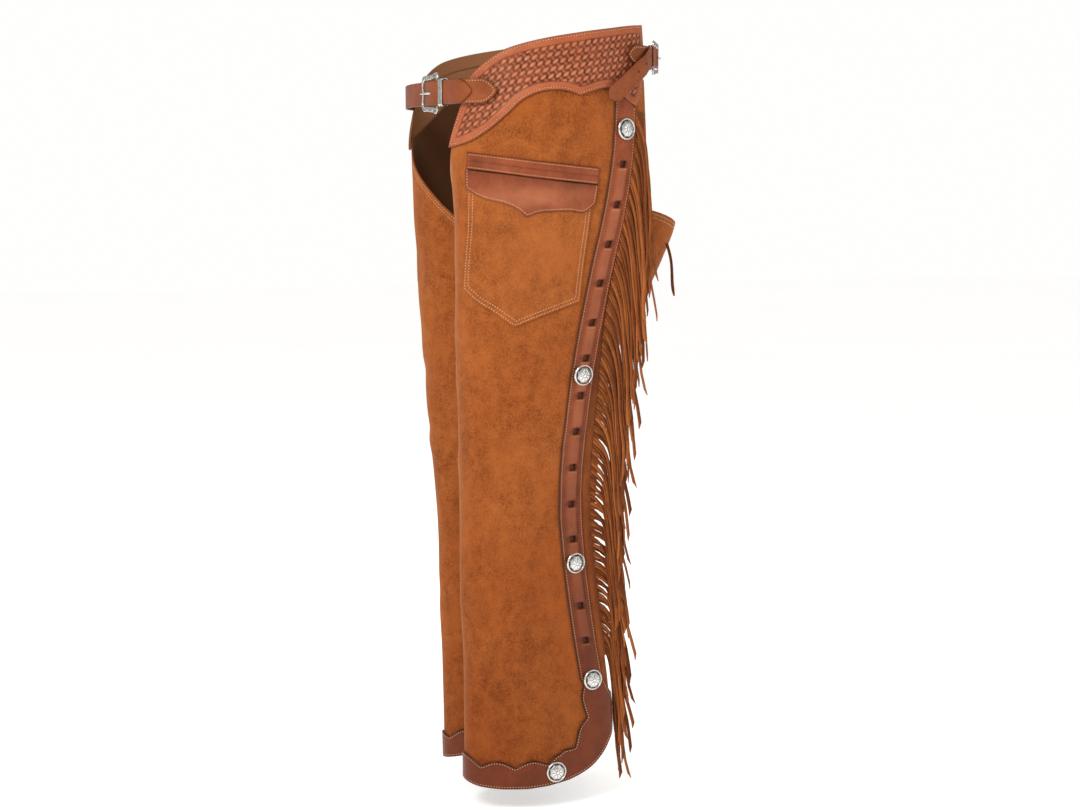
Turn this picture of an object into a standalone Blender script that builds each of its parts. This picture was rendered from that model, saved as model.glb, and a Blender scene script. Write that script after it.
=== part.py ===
"""Leather chaps: two suede legs with tooled yokes, laced bands, fringe, pockets and buckled belts.

Row frame: +Z up, the wearer faces -Y and the wearer's left leg is at +X.
The origin is the middle of the waist at belt height. Blender lengths are metres; tables are mm.
"""
import math

import bmesh
import bpy
import numpy as np

MM = 0.001

# Sheet and hardware thicknesses.
SUEDE = 1.8 * MM
YOKE_THICK = 2.8 * MM
BAND_THICK = 2.0 * MM
PATCH_THICK = 1.4 * MM
FLAP_THICK = 1.7 * MM
WELT_THICK = 2.2 * MM
ROOT_THICK = 1.3 * MM
LACE_THICK = 2.0 * MM
TAPE_THICK = 1.1 * MM

# Distance of each layer's inner face from the leg's own form.
ON_SUEDE = 2.9 * MM
ON_ROOT = 5.0 * MM
ON_LACE = 5.6 * MM
ON_PATCH = 4.9 * MM
ON_BAND = 8.1 * MM
ON_HEM_BAND = 5.4 * MM
IN_ZIP = -2.4 * MM

# One row per height: plan position of five landmarks round the left leg.
SECTION_COLUMNS = ("z", "outer_x", "outer_y", "front_x", "front_y", "inner_x", "inner_y",
                   "back_x", "back_y", "seam_x", "seam_y")
SECTIONS = (
    (75, 172, 2, 62, -136, 20, 0, 38, 146, 140, 100),
    (0, 178, 2, 68, -148, 18, 0, 40, 154, 146, 107),
    (-60, 180, 0, 84, -149, 16, 0, 50, 166, 150, 106),
    (-115, 179, -4, 100, -146, 15, 0, 66, 180, 153, 103),
    (-170, 176, -8, 110, -142, 14, 0, 80, 186, 154, 95),
    (-215, 172, -12, 114, -140, 13, 5, 86, 186, 153, 86),
    (-265, 166, -16, 108, -139, 12, 0, 84, 168, 149, 75),
    (-320, 159, -20, 101, -137, 11, -10, 81, 142, 143, 65),
    (-380, 151, -26, 94, -134, 11, -20, 78, 108, 137, 56),
    (-440, 144, -30, 89, -131, 11, -28, 76, 86, 131, 49),
    (-500, 138, -34, 83, -128, 10, -30, 72, 78, 125, 43),
    (-560, 129, -36, 74, -124, 9, -30, 65, 75, 117, 40),
    (-620, 119, -36, 66, -121, 8, -28, 60, 74, 107, 43),
    (-680, 112, -33, 60, -119, 7, -26, 55, 76, 99, 51),
    (-745, 108, -28, 58, -118, 7, -22, 52, 81, 94, 62),
    (-810, 106, -22, 57, -117, 7, -18, 51, 88, 91, 73),
    (-870, 105, -17, 56, -116, 7, -14, 50, 95, 90, 84),
    (-1020, 104, -12, 55, -113, 7, -10, 50, 104, 90, 96),
)
SAMPLES = 28
ROUNDING = 10

# Panel cells between neighbouring landmarks, then its rows from top to hem.
PANEL_CELLS = (3, 5, 6, 5, 3)
PANEL_ROWS = 17
PANEL_LEVELS = (-60, -1000)
ZIP_GAP = 6 * MM

# Arc positions below are mm forwards from the back outside seam line.
ZIP_LINE = ((60, -20), (-200, -22), (-420, -17), (-900, -13), (-1020, -13))
ZIP_SPAN = (-212, -900)
ZIP_ROWS = 10
ZIP_PROFILE_COLUMNS = ("across", "rise")
ZIP_PROFILE = ((-10, 0), (-2.3, 0), (-1.8, 1.5), (1.8, 1.5), (2.3, 0), (10, 0))
PANEL_TOP = ((-22, -22), (0, -22), (10, -38), (35, -27), (50, -18), (67, -16), (101, -27),
             (136, -20), (160, -24), (179, -34), (197, -52), (220, -72), (243, -88), (262, -95),
             (286, -101), (304, -128), (320, -151), (337, -172), (355, -193), (374, -212), (401, -226),
             (440, -232), (517, -232), (604, -224), (679, -215), (738, -199), (764, -191))
HEM = ((-14, -905), (-8, -930), (1, -949), (14, -975), (36, -994), (69, -1007), (100, -1012.5),
       (130, -1015), (166, -1014.5), (197, -1012), (234, -1004), (290, -990), (345, -977),
       (400, -965), (450, -953), (490, -936), (515, -905))

# Yoke ribs from the back edge to the front edge.
YOKE_COLUMNS = ("top_s", "top_z", "low_s", "low_z")
YOKE = (
    (-20, 52, -4, -38), (-6, 50.5, 9, -60), (14, 48.5, 24, -54), (30, 46.5, 35, -47),
    (50, 43.5, 50, -38), (70, 40.7, 67, -36.7), (88, 38, 86, -41.8), (103, 35.5, 101.4, -47),
    (118, 33, 115, -42), (140, 29, 136.5, -39.8), (163, 24, 160, -44), (182, 19, 179, -54.4),
    (200, 13, 197, -72), (218, 3.5, 219.5, -92), (233, -7.5, 243.5, -107),
    (242, -15, 265, -113), (248, -21, 282, -115),
)
YOKE_ROWS = 4

# Laced strip down the outside seam.
STRIP_CENTRE = ((-30, 31), (-170, 28), (-400, 23), (-600, 22), (-760, 24), (-865, 23.5))
STRIP_HALF = 18
BULGE_HALF = 9.5
WINDOW_HALF = 4.3
WINDOW_LEVELS = (-137, -191, -244, -297, -351, -400, -452, -502, -553, -606, -657, -755, -806)
STRIP_FOOT = -862
STRIP_TOP_RIB = (12, -62, 48, -42)
PLAIN_LEVELS = (-95, -706, -835, STRIP_FOOT)
RAISE_END = (-880, -905)
FLAT_AFTER = 6
LACE_SPAN = (-75, -842)
LACE_ROWS = 23
LACE_HALF = 4.6
# Ribs round the band's lower corner, then the hem ribs follow the hem line.
CORNER_COLUMNS = ("outer_s", "outer_z", "inner_s", "inner_z")
CORNER = (
    (0, -878, 38, -872), (-6, -893, 36, -881), (-11, -908, 35, -890), (-11, -922, 35, -900),
    (-8, -935, 36, -911), (-4, -948, 38, -922), (3, -960, 40.5, -931), (10, -970.5, 44, -940),
    (20, -981, 49, -949), (31, -990, 56, -957), (43, -996.5, 64, -964), (56, -1002, 72, -969),
)
HEM_RIB_START = 66
HEM_RIB_END = 503
HEM_CLEAR = 0.6
HEM_LEAN = 12
HEM_LEAN_RUN = 60
BAND_WIDTH = 31
SCALLOP_PITCH = 47
SCALLOP_RISE = 9
SCALLOP_STEPS = 4

# Fringe: its root band, then how each strand hangs.
STRANDS = 54
FRINGE_TOP = -67
FRINGE_END = -835
ROOT_ARCS = (14, -1)
ROOT_RISES = (0.0, 0.4, 0.6)
STRAND_HALF = 2.4
LENGTH_SPREAD = 0.05
SPREAD_TURN = 2.4
FIRST_DROP = 7
MIDDLE_SHARE = 0.45
HANG_COLUMNS = ("root_z", "rear_s", "turn", "drift", "length")
HANG = ((-67, -8, 6, 0.04, 200), (-200, -11, 9, 0.07, 212), (-330, -16, 12, 0.09, 212),
        (-450, -17, 12, 0.13, 205), (-600, -17, 12, 0.20, 195), (-760, -17, 12, 0.24, 180),
        (-835, -17, 12, 0.24, 168))
TURN_DROP = 10
FRINGE_BACK = (-0.37, 0.93)
# Places that a strand may take beside or over the ones below it, nearest first.
LAYER_STEP = 1.8
LAYERS = 7
TURN_STEP = 2.6
TURNS = 8
NEAREST_OUT = 0.3
NEAREST_ASIDE = 0.3
TEST_STEP = 3

# Pocket pieces, ribs from the front to the back: arc and height of each rib's two ends.
POCKET_ROWS = 4
WELT = ((248, -121.5, 246, -144), (205, -126.5, 203, -149), (160, -132, 157, -155),
        (112, -137, 110, -160), (64, -142, 62, -164.5))
FLAP = ((246, -144.6, 241, -170), (230, -146.4, 222, -180), (208, -149, 203, -186),
        (188, -151.3, 186, -189.5), (169, -153.6, 168, -197), (154, -155.4, 152.5, -207.5),
        (140, -157, 138, -202), (118, -159.7, 117, -200), (96, -162, 95, -199.5),
        (76, -163.6, 75, -201), (62, -165.2, 61, -190))
PATCH = ((241, -160, 214, -305), (214, -163, 192, -321), (188, -166, 165, -336),
         (160, -169, 133, -356), (128, -172.5, 108, -345), (96, -176, 78, -333),
         (66, -180, 48, -322))

# Conchos: height on the strip, then the one on the hem band by arc and height.
CONCHO_LEVELS = (-90, -423.5, -692, -864)
HEM_CONCHO = (89, -992)
CONCHO_PROFILE = ((0, 5.2), (7, 4.4), (11.6, 2.0), (13.3, 2.7), (15, 1.0), (15, 0))
CONCHO_SIDES = 12
MERGE = 1e-6

# Thong at the back corner: where it starts, its run to its free end, sway and cross direction.
TIE_START = (-91, -245)
TIE_OUT = 3.4
TIE_RUN = (0, 14, -74)
TIE_SWAY = (0, 2, 0)
TIE_WIDE = (0.75, 0.62, 0)
TIE_HALF = 2.3
TIE_THICK = 1.4
TIE_POINTS = 6

# Belt lines in plan from the right yoke round to the left yoke, as a layer just off the yokes.
FRONT_LINE = ((-163, -95), (-156, -107), (-147, -119), (-137, -130), (-116, -144), (-85, -155),
              (-45, -161), (-10, -161.5), (25, -157.5), (65, -150), (105, -143), (138, -132),
              (147, -119), (156, -107), (163, -95), (169, -82))
BACK_LINE = ((-163, 86), (-151, 108), (-135, 123), (-112, 138), (-79, 153), (-40, 163), (0, 166),
             (40, 163), (79, 153), (98, 145), (112, 138), (125, 130), (135, 123), (151, 108),
             (163, 86), (176, 52), (178, 30))
# Buckle middle as plan x on the line, belt height, strap width, and lengths along the belt.
BELT_COLUMNS = ("name", "buckle_x", "height", "width", "billet_start", "tip", "tab_end", "droop",
                "keeper_at", "keeper_half", "keeper_finish")
BELTS = (
    ("front", 50, -41, 33, -230, 100, 134, 0, 38, 6, "silver"),
    ("back", 92, 10, 26, -276, 136, 100, -60, 38, 7, "strap"),
)
LINE_STEP = 2
AHEAD = 3
BELT_LIFT = 2.3
DROOP_START = 54
BUCKLE_HALF_LONG = 17
BUCKLE_OUTLINE = ((1, 0), (1, 0.5), (1, 0.92), (0.85, 1.06), (0.3, 1.0), (-0.4, 0.94), (-0.85, 0.92),
                  (-1, 0.78), (-1, 0))
BUCKLE_BAR = 2.6
BUCKLE_PLATE = 2.2
BUCKLE_RISE = 2.5
BUCKLE_INSIDE = 2.5
BUCKLE_OUTSIDE = 9

# The folded chape: distances along it, then how it turns round the buckle's heel bar.
CHAPE_THICK = 1.4
CHAPE_BOTTOM = 0.7
CHAPE_TOP = 2.5
CHAPE_DROP = 1.5
CHAPE_STRAIGHT = 7
CHAPE_POINTS = 7
CHAPE_TURN = (-60, -100, -140, -180, -220, -260, -300)
CHAPE_UNDER_END = 14
TAB_SHAPE_COLUMNS = ("from_end", "share_of_width")
TAB_SHAPE = ((12, 1), (5, 0.72), (0, 0.12))
LOOP_CENTRE = 1.6
LOOP_RADIUS = 2.8
SLOT_HALF_LONG = 5
SLOT_SPARE = 0.8
SLOT_DEPTH = (-4, 8)

# The billet: low before the buckle, over the heel bar at its middle, then over the chape.
STRAP_THICK = 2.0
BILLET_LOW = 1.4
BILLET_HIGH = 4.8
BILLET_DROP = 0.9
BILLET_SPARE = 0.3
BILLET_BEFORE = -38
BILLET_BEFORE_POINTS = 10
BILLET_AFTER = 44
BILLET_AFTER_POINTS = 6
BILLET_LIFT = 2.4
BILLET_LIFT_RUN = 30
BILLET_PATH_COLUMNS = ("along", "out")
BILLET_PATH = ((-20, 2.8), (-10, 4.8), (0, 6.6), (8, 7.4), (20, 7.3), (25, 6.0), (30, 4.9))
TIP_SHAPE = ((12, 1), (4, 0.72), (0, 0.2))
HOLE_SPAN = (-2, 8.5)
HOLE_DEPTH = (2, 11)

# The prong: hooked round the heel bar, then over the strap to the far bar.
PRONG_WIDTH = 3.0
PRONG_THICK = 1.6
HOOK_RADIUS = 2.95
HOOK_TURN = (-150, -100, -50, 0, 50, 95)
PRONG_PATH_COLUMNS = ("along", "out")
PRONG_PATH = ((11, 4.5), (6.5, 4.9), (3.5, 6.9), (0, 9.7), (-5, 10.4), (-12, 10.0), (-21, 9.2))
KEEPER_THICK = 1.4
KEEPER_INSIDE = (-0.5, 6.4)
KEEPER_SPARE = 0.7


def clear_scene():
    """Empty the file of every object and mesh."""
    for thing in list(bpy.data.objects):
        bpy.data.objects.remove(thing, do_unlink=True)
    for mesh in list(bpy.data.meshes):
        bpy.data.meshes.remove(mesh)


def collection(name):
    """A named collection in the scene."""
    made = bpy.data.collections.new(name)
    bpy.context.scene.collection.children.link(made)
    return made


def material(name, colour, rough, metal):
    """A plain Principled material."""
    made = bpy.data.materials.new(name)
    made.use_nodes = True
    shader = made.node_tree.nodes["Principled BSDF"]
    shader.inputs["Base Color"].default_value = (*colour, 1.0)
    shader.inputs["Roughness"].default_value = rough
    shader.inputs["Metallic"].default_value = metal
    return made


FINISHES = {
    "suede": ((0.36, 0.11, 0.035), 0.95, 0.0),
    "tooled": ((0.42, 0.17, 0.08), 0.5, 0.0),
    "band": ((0.28, 0.08, 0.035), 0.45, 0.0),
    "strap": ((0.40, 0.15, 0.06), 0.5, 0.0),
    "silver": ((0.75, 0.75, 0.76), 0.25, 1.0),
    "zip": ((0.12, 0.07, 0.05), 0.7, 0.0),
}


def finish_object(name, mesh, work, finish):
    """Turn a mesh's faces outwards and link it as a named object with its own material."""
    bmesh.ops.recalc_face_normals(work, faces=work.faces)
    if work.calc_volume(signed=True) < 0:
        bmesh.ops.reverse_faces(work, faces=work.faces)
    work.to_mesh(mesh)
    work.free()
    PARTS.objects.link(bpy.data.objects.new(name, mesh))
    mesh.materials.append(material(name, *FINISHES[finish]))


def add_object(name, vertices, faces, finish):
    """Make one named object from points and faces."""
    mesh = bpy.data.meshes.new(name)
    mesh.from_pydata([tuple(v) for v in vertices], [], faces)
    work = bmesh.new()
    work.from_mesh(mesh)
    finish_object(name, mesh, work, finish)


def column(table, index):
    """One column of a table, in metres."""
    return np.array([row[index] for row in table], float) * MM


def follow(table, at):
    """Read a two-column table of (where, what), whichever way its rows run."""
    where, what = column(table, 0), column(table, 1)
    order = np.argsort(where)
    return np.interp(at, where[order], what[order])


def section_values(z):
    """The landmark row at each height, smooth between the table's rows."""
    table = np.array(SECTIONS, float)[::-1] * MM
    levels, values = table[:, 0], table[:, 1:]
    slopes = np.gradient(values, levels, axis=0)
    low = np.clip(np.searchsorted(levels, z) - 1, 0, len(levels) - 2)
    gap = (levels[low + 1] - levels[low])[:, None]
    t = np.clip((z - levels[low])[:, None] / gap, 0.0, 1.0)
    near = (2 * t ** 3 - 3 * t ** 2 + 1) * values[low] + (t ** 3 - 2 * t ** 2 + t) * gap * slopes[low]
    far = (3 * t ** 2 - 2 * t ** 3) * values[low + 1] + (t ** 3 - t ** 2) * gap * slopes[low + 1]
    return near + far


def section_lines(z):
    """The closed plan line at each height, from the seam forwards through the landmarks."""
    row = section_values(z)[:, None, :]
    outer_x, outer_y, front_x, front_y, inner_x, inner_y, back_x, back_y, seam_x, seam_y = (
        row[..., k] for k in range(10))
    t = np.linspace(0.0, 1.0, SAMPLES + 1)[None, :]
    run, rise = np.cos(t * math.pi / 2), np.sin(t * math.pi / 2)
    sides = (
        (outer_x - (outer_x - seam_x) * (1 - t) ** 2, seam_y + (outer_y - seam_y) * t),
        (front_x + (outer_x - front_x) * run, outer_y + (front_y - outer_y) * rise),
        (front_x + (inner_x - front_x) * rise, inner_y + (front_y - inner_y) * run),
        (back_x + (inner_x - back_x) * run, inner_y + (back_y - inner_y) * rise),
        (back_x + (seam_x - back_x) * t, back_y + (seam_y - back_y) * t ** 2),
    )
    x = np.concatenate([side[0][:, :-1] for side in sides], axis=1)
    y = np.concatenate([side[1][:, :-1] for side in sides], axis=1)
    for _ in range(ROUNDING):
        x = (np.roll(x, 1, axis=1) + 2 * x + np.roll(x, -1, axis=1)) / 4
        y = (np.roll(y, 1, axis=1) + 2 * y + np.roll(y, -1, axis=1)) / 4
    return np.hstack([x, x[:, :1]]), np.hstack([y, y[:, :1]])


def arc_lengths(x, y):
    """Running length along each plan line."""
    steps = np.hypot(np.diff(x, axis=1), np.diff(y, axis=1))
    return np.concatenate([np.zeros((len(x), 1)), np.cumsum(steps, axis=1)], axis=1)


def landmark_arc(turn, z):
    """Arc length at a fractional landmark number: 1 outer, 2 front, 3 inner, 4 back, 5 seam."""
    arcs = arc_lengths(*section_lines(np.array([z])))[0]
    return float(np.interp(turn * SAMPLES, np.arange(len(arcs)), arcs))


def form_point(s, z):
    """Points on the left leg's form at arc s and height z, both flat arrays."""
    x, y = section_lines(z)
    arcs = arc_lengths(x, y)
    girth = arcs[:, -1]
    s = np.where(s < 0, s + girth, s)
    points = np.empty((len(s), 3))
    for k, at in enumerate(s):
        points[k] = np.interp(at, arcs[k], x[k]), np.interp(at, arcs[k], y[k]), z[k]
    return points


def place(side, s, z, out):
    """Points at arc s and height z, moved out along the form's normal; side -1 mirrors them."""
    s, z, out = np.broadcast_arrays(np.asarray(s, float), np.asarray(z, float), np.asarray(out, float))
    flat_s, flat_z = s.ravel(), z.ravel()
    step = 2 * MM
    along = form_point(flat_s + step, flat_z) - form_point(flat_s - step, flat_z)
    up = form_point(flat_s, flat_z + step) - form_point(flat_s, flat_z - step)
    normal = np.cross(up, along)
    normal /= np.linalg.norm(normal, axis=1)[:, None]
    points = form_point(flat_s, flat_z) + normal * out.ravel()[:, None]
    points[:, 0] *= side
    return points.reshape(s.shape + (3,))


def slab(name, inner, outer, finish, keep=None, ring=False):
    """A closed sheet between two point grids; cells left out of keep are cut through."""
    rows, columns = inner.shape[:2]
    across = columns if ring else columns - 1
    if keep is None:
        keep = np.ones((rows - 1, across), bool)
    count = rows * columns
    vertices = np.concatenate([inner.reshape(-1, 3), outer.reshape(-1, 3)])

    def index(row, col):
        return row * columns + col % columns

    def kept(row, col):
        if ring:
            col %= across
        return 0 <= row < rows - 1 and 0 <= col < across and keep[row, col]

    faces = []
    for row in range(rows - 1):
        for col in range(across):
            if not keep[row, col]:
                continue
            a, b = index(row, col), index(row, col + 1)
            c, d = index(row + 1, col + 1), index(row + 1, col)
            faces.append((d, c, b, a))
            faces.append((a + count, b + count, c + count, d + count))
            edges = ((a, b, kept(row - 1, col)), (b, c, kept(row, col + 1)),
                     (c, d, kept(row + 1, col)), (d, a, kept(row, col - 1)))
            for start, end, joined in edges:
                if not joined:
                    faces.append((start, end, end + count, start + count))
    used = sorted({v for face in faces for v in face})
    place_of = {v: k for k, v in enumerate(used)}
    faces = [tuple(place_of[v] for v in face) for face in faces]
    add_object(name, vertices[used], faces, finish)


def sheet_on(name, side, s, z, inner_out, thick, finish, keep=None):
    """A sheet on the form from grids of arc and height."""
    return slab(name, place(side, s, z, inner_out), place(side, s, z, inner_out + thick), finish, keep)


def ribs_grid(table, rows):
    """Grids of arc and height from ribs given by the two ends of each."""
    t = np.linspace(0.0, 1.0, rows + 1)[:, None]
    s = column(table, 0)[None, :] * (1 - t) + column(table, 2)[None, :] * t
    z = column(table, 1)[None, :] * (1 - t) + column(table, 3)[None, :] * t
    return s, z


def between_ribs(table):
    """The same ribs with one more between each pair."""
    table = np.array(table, float)
    middle = (table[1:] + table[:-1]) / 2
    return np.concatenate([np.stack([table[:-1], middle], axis=1).reshape(-1, 4), table[-1:]])


def leg_panel(tag, side):
    """The suede leg: one sheet from the zip line round the leg to the zip line again."""
    turns = np.concatenate([np.linspace(k, k + 1, cells, endpoint=False)
                            for k, cells in enumerate(PANEL_CELLS)])
    top_level, hem_level = (level * MM for level in PANEL_LEVELS)
    top_girth, hem_girth = landmark_arc(5, top_level), landmark_arc(5, hem_level)
    columns = len(turns) + 2
    s = np.empty((PANEL_ROWS + 1, columns))
    z = np.empty_like(s)
    for col in range(columns):
        first, last = col == 0, col == columns - 1
        if first or last:
            around = 0.0 if first else 1.0
            s_top = follow(ZIP_LINE, top_level) + around * top_girth
            s_hem = follow(ZIP_LINE, hem_level) + around * hem_girth
        else:
            s_top = landmark_arc(turns[col - 1], top_level)
            s_hem = landmark_arc(turns[col - 1], hem_level)
        top = follow(PANEL_TOP, s_top)
        hem = follow(HEM, s_hem)
        z[:, col] = np.linspace(top, hem, PANEL_ROWS + 1)
        for row in range(PANEL_ROWS + 1):
            level = z[row, col]
            if first:
                s[row, col] = follow(ZIP_LINE, level) + ZIP_GAP / 2
            elif last:
                s[row, col] = follow(ZIP_LINE, level) + landmark_arc(5, level) - ZIP_GAP / 2
            else:
                s[row, col] = landmark_arc(turns[col - 1], level)
    sheet_on(f"leg_panel_{tag}", side, s, z, 0.0, SUEDE, "suede")


def zip_strip(tag, side):
    """The closed zip: a tape inside the leg with its coil standing in the slit."""
    z = np.linspace(*ZIP_SPAN, ZIP_ROWS + 1)[:, None] * MM
    rise = column(ZIP_PROFILE, 1)[None, :]
    s = follow(ZIP_LINE, z) + column(ZIP_PROFILE, 0)[None, :]
    z = np.broadcast_to(z, s.shape)
    inner = place(side, s, z, IN_ZIP)
    outer = place(side, s, z, IN_ZIP + TAPE_THICK + rise)
    slab(f"zip_{tag}", inner, outer, "zip")


def yoke(tag, side):
    """The tooled yoke over the top of the leg."""
    s, z = ribs_grid(YOKE, YOKE_ROWS)
    sheet_on(f"yoke_{tag}", side, s, z, ON_SUEDE, YOKE_THICK, "tooled")


def strip_levels():
    """Heights of the strip's ribs: both ends of every window and a few between far ones."""
    levels = []
    for level in WINDOW_LEVELS:
        levels += [level + WINDOW_HALF, level - WINDOW_HALF]
    levels += PLAIN_LEVELS
    return sorted(levels, reverse=True)


def edge_band(tag, side):
    """The strip and the scalloped hem band as one ribbon, with its windows cut through."""
    levels = strip_levels()
    ribs = [STRIP_TOP_RIB]
    for level in levels:
        centre = follow(STRIP_CENTRE, level * MM) / MM
        ribs.append((centre - STRIP_HALF, level, centre + STRIP_HALF, level))
    ribs += list(CORNER)
    steps = int((HEM_RIB_END - HEM_RIB_START) / SCALLOP_PITCH * SCALLOP_STEPS)
    for arc in np.linspace(HEM_RIB_START, HEM_RIB_END, steps + 1):
        edge = follow(HEM, arc * MM) / MM + HEM_CLEAR
        lean = HEM_LEAN * max(0.0, 1 - (arc - HEM_RIB_START) / HEM_LEAN_RUN)
        ribs.append((arc, edge, arc + lean, edge + BAND_WIDTH))
    ribs = np.array(ribs) * MM
    outer_edge, inner_edge = ribs[:, :2], ribs[:, 2:].copy()
    first = 1 + len(levels)
    run = np.concatenate([[0], np.cumsum(np.linalg.norm(np.diff(inner_edge[first:], axis=0), axis=1))])
    bump = SCALLOP_RISE * MM * np.abs(np.sin(math.pi * run / (SCALLOP_PITCH * MM)))
    inward = inner_edge[first:] - outer_edge[first:]
    inward /= np.linalg.norm(inward, axis=1)[:, None]
    inner_edge[first:] += inward * bump[:, None]
    across = (np.array([-STRIP_HALF, -BULGE_HALF, -WINDOW_HALF, WINDOW_HALF, BULGE_HALF, STRIP_HALF])
              + STRIP_HALF) / (2 * STRIP_HALF)
    across = across[None, :, None]
    points = outer_edge[:, None, :] * (1 - across) + inner_edge[:, None, :] * across
    s, z = points[..., 0], points[..., 1]
    high = np.array([ON_ROOT, ON_ROOT, ON_LACE, ON_LACE, ON_SUEDE, ON_SUEDE])[None, :]
    top, end = (level * MM for level in RAISE_END)
    share = np.clip((z.mean(axis=1) - end) / (top - end), 0.0, 1.0)[:, None]
    share[first + FLAT_AFTER:] = 0.0
    out = ON_SUEDE + (high - ON_SUEDE) * share
    keep = np.ones((len(ribs) - 1, s.shape[1] - 1), bool)
    for level in WINDOW_LEVELS:
        keep[1 + levels.index(level + WINDOW_HALF), 2] = False
    sheet_on(f"edge_band_{tag}", side, s, z, out, BAND_THICK, "band", keep)


def lace(tag, side):
    """The flat lace that runs under the strip and shows in its windows."""
    z = np.linspace(*LACE_SPAN, LACE_ROWS + 1)[:, None] * MM
    s = follow(STRIP_CENTRE, z) + np.array([-LACE_HALF, LACE_HALF])[None, :] * MM
    z = np.broadcast_to(z, s.shape)
    sheet_on(f"lace_{tag}", side, s, z, ON_SUEDE, LACE_THICK, "strap")


def hang(name, level):
    """Read one column of the fringe table at a root height."""
    index = HANG_COLUMNS.index(name)
    return follow([(row[0], row[index]) for row in HANG], level)


def fringe_axes():
    """Directions backwards and outwards in which the fringe hangs off the leg, and up."""
    back = np.array([*FRINGE_BACK, 0.0])
    back /= np.linalg.norm(back)
    return back, np.array([back[1], -back[0], 0.0]), np.array([0.0, 0.0, 1.0])


def strand_rings(root, number, more_turn, lift):
    """Corners of one strand at its three drops: it turns back off its root, then falls."""
    back, out, up = fringe_axes()
    level = root[2]
    drift, turn = hang("drift", level) / MM, hang("turn", level) + more_turn
    length = hang("length", level) * (1 + LENGTH_SPREAD * math.sin(number * SPREAD_TURN))
    rings = []
    for drop in (FIRST_DROP * MM, MIDDLE_SHARE * length, length):
        fade = math.exp(-drop / (TURN_DROP * MM))
        lean = math.atan(turn / (TURN_DROP * MM) * fade + drift)
        centre = root + back * (turn * (1 - fade) + drift * drop) - up * drop + out * lift
        wide = (back * math.cos(lean) + up * math.sin(lean)) * STRAND_HALF * MM
        thick = out * ROOT_THICK / 2
        rings.append((centre + wide - thick, centre + wide + thick,
                      centre - wide + thick, centre - wide - thick))
    return np.array(rings)


def strand_path(root, rings, levels):
    """Distance back, distance out and half width of a strand at each test height."""
    back, out, _ = fringe_axes()
    half_root = (FRINGE_TOP - FRINGE_END) * MM / STRANDS / 2
    points = np.vstack([root + (0.0, 0.0, half_root), rings.mean(axis=1)])[::-1]
    halves = np.append((np.ptp(rings @ back, axis=1) / 2)[::-1], 0.0)
    inside = (levels >= points[0, 2]) & (levels <= points[-1, 2])
    rows = [np.interp(levels, points[:, 2], row) for row in (points @ back, points @ out, halves)]
    return np.where(inside, rows, np.nan)


def paths_meet(path, other):
    """True where two strands would touch at some height."""
    aside = np.abs(path[0] - other[0]) < path[2] + other[2] + NEAREST_ASIDE * MM
    out = np.abs(path[1] - other[1]) < ROOT_THICK + NEAREST_OUT * MM
    return bool(np.any(aside & out))


def hang_strands(roots):
    """Hang every strand from the lowest up, each in the nearest place clear of those below."""
    levels = np.arange(roots[:, 2].min() - hang("length", FRINGE_END * MM) * (1 + LENGTH_SPREAD),
                       roots[:, 2].max(), TEST_STEP * MM)
    places = sorted((layer + turn, layer, turn) for layer in range(LAYERS) for turn in range(TURNS))
    hung, paths = {}, []
    for number in reversed(range(len(roots))):
        for _, layer, turn in places:
            rings = strand_rings(roots[number], number, turn * TURN_STEP * MM, layer * LAYER_STEP * MM)
            path = strand_path(roots[number], rings, levels)
            if not any(paths_meet(path, other) for other in paths):
                break
        hung[number] = rings
        paths.append(path)
    return hung


def fringe(tag, side):
    """A root band behind the strip with strands hanging from its rear edge."""
    levels = np.linspace(FRINGE_TOP, FRINGE_END, STRANDS + 1) * MM
    rear = hang("rear_s", levels)
    fixed = [np.full(len(levels), arc * MM) for arc in ROOT_ARCS]
    s = np.stack([*fixed, rear], axis=1)
    columns = s.shape[1]
    z = np.repeat(levels[:, None], columns, axis=1)
    base = ON_SUEDE + np.array(ROOT_RISES)[None, :] * MM
    band = [place(1, s, z, base), place(1, s, z, base + ROOT_THICK)]
    vertices = np.concatenate([grid.reshape(-1, 3) for grid in band])
    count = len(levels) * columns
    faces = []
    for row in range(STRANDS):
        for col in range(columns - 1):
            a, b = row * columns + col, row * columns + col + 1
            c, d = b + columns, a + columns
            faces.append((a, b, c, d))
            faces.append((d + count, c + count, b + count, a + count))
        front = row * columns
        faces.append((front, front + columns, front + columns + count, front + count))
    for row in (0, STRANDS):
        for col in range(columns - 1):
            a, b = row * columns + col, row * columns + col + 1
            faces.append((a, b, b + count, a + count))
    rears = np.arange(STRANDS) * columns + columns - 1
    edges = np.stack([rears, rears + count, rears + columns + count, rears + columns], axis=1)
    hung = hang_strands(vertices[edges].mean(axis=1))
    for strand in range(STRANDS):
        ring = edges[strand]
        new = 2 * count + strand * hung[strand].size // 3
        vertices = np.concatenate([vertices, hung[strand].reshape(-1, 3)])
        for first in range(new, len(vertices), 4):
            fresh = np.arange(first, first + 4)
            for k in range(4):
                n = (k + 1) % 4
                faces.append((ring[k], ring[n], fresh[n], fresh[k]))
            ring = fresh
        faces.append(tuple(ring))
    vertices[:, 0] *= side
    add_object(f"fringe_{tag}", vertices, faces, "suede")


def pocket(tag, side):
    """The pointed pocket patch, the welt over it and the flap between."""
    s, z = ribs_grid(between_ribs(PATCH), POCKET_ROWS)
    sheet_on(f"pocket_patch_{tag}", side, s, z, ON_SUEDE, PATCH_THICK, "suede")
    s, z = ribs_grid(between_ribs(between_ribs(WELT)), 1)
    sheet_on(f"pocket_welt_{tag}", side, s, z, ON_SUEDE, WELT_THICK, "band")
    s, z = ribs_grid(FLAP, POCKET_ROWS)
    sheet_on(f"pocket_flap_{tag}", side, s, z, ON_PATCH, FLAP_THICK, "band")


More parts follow.
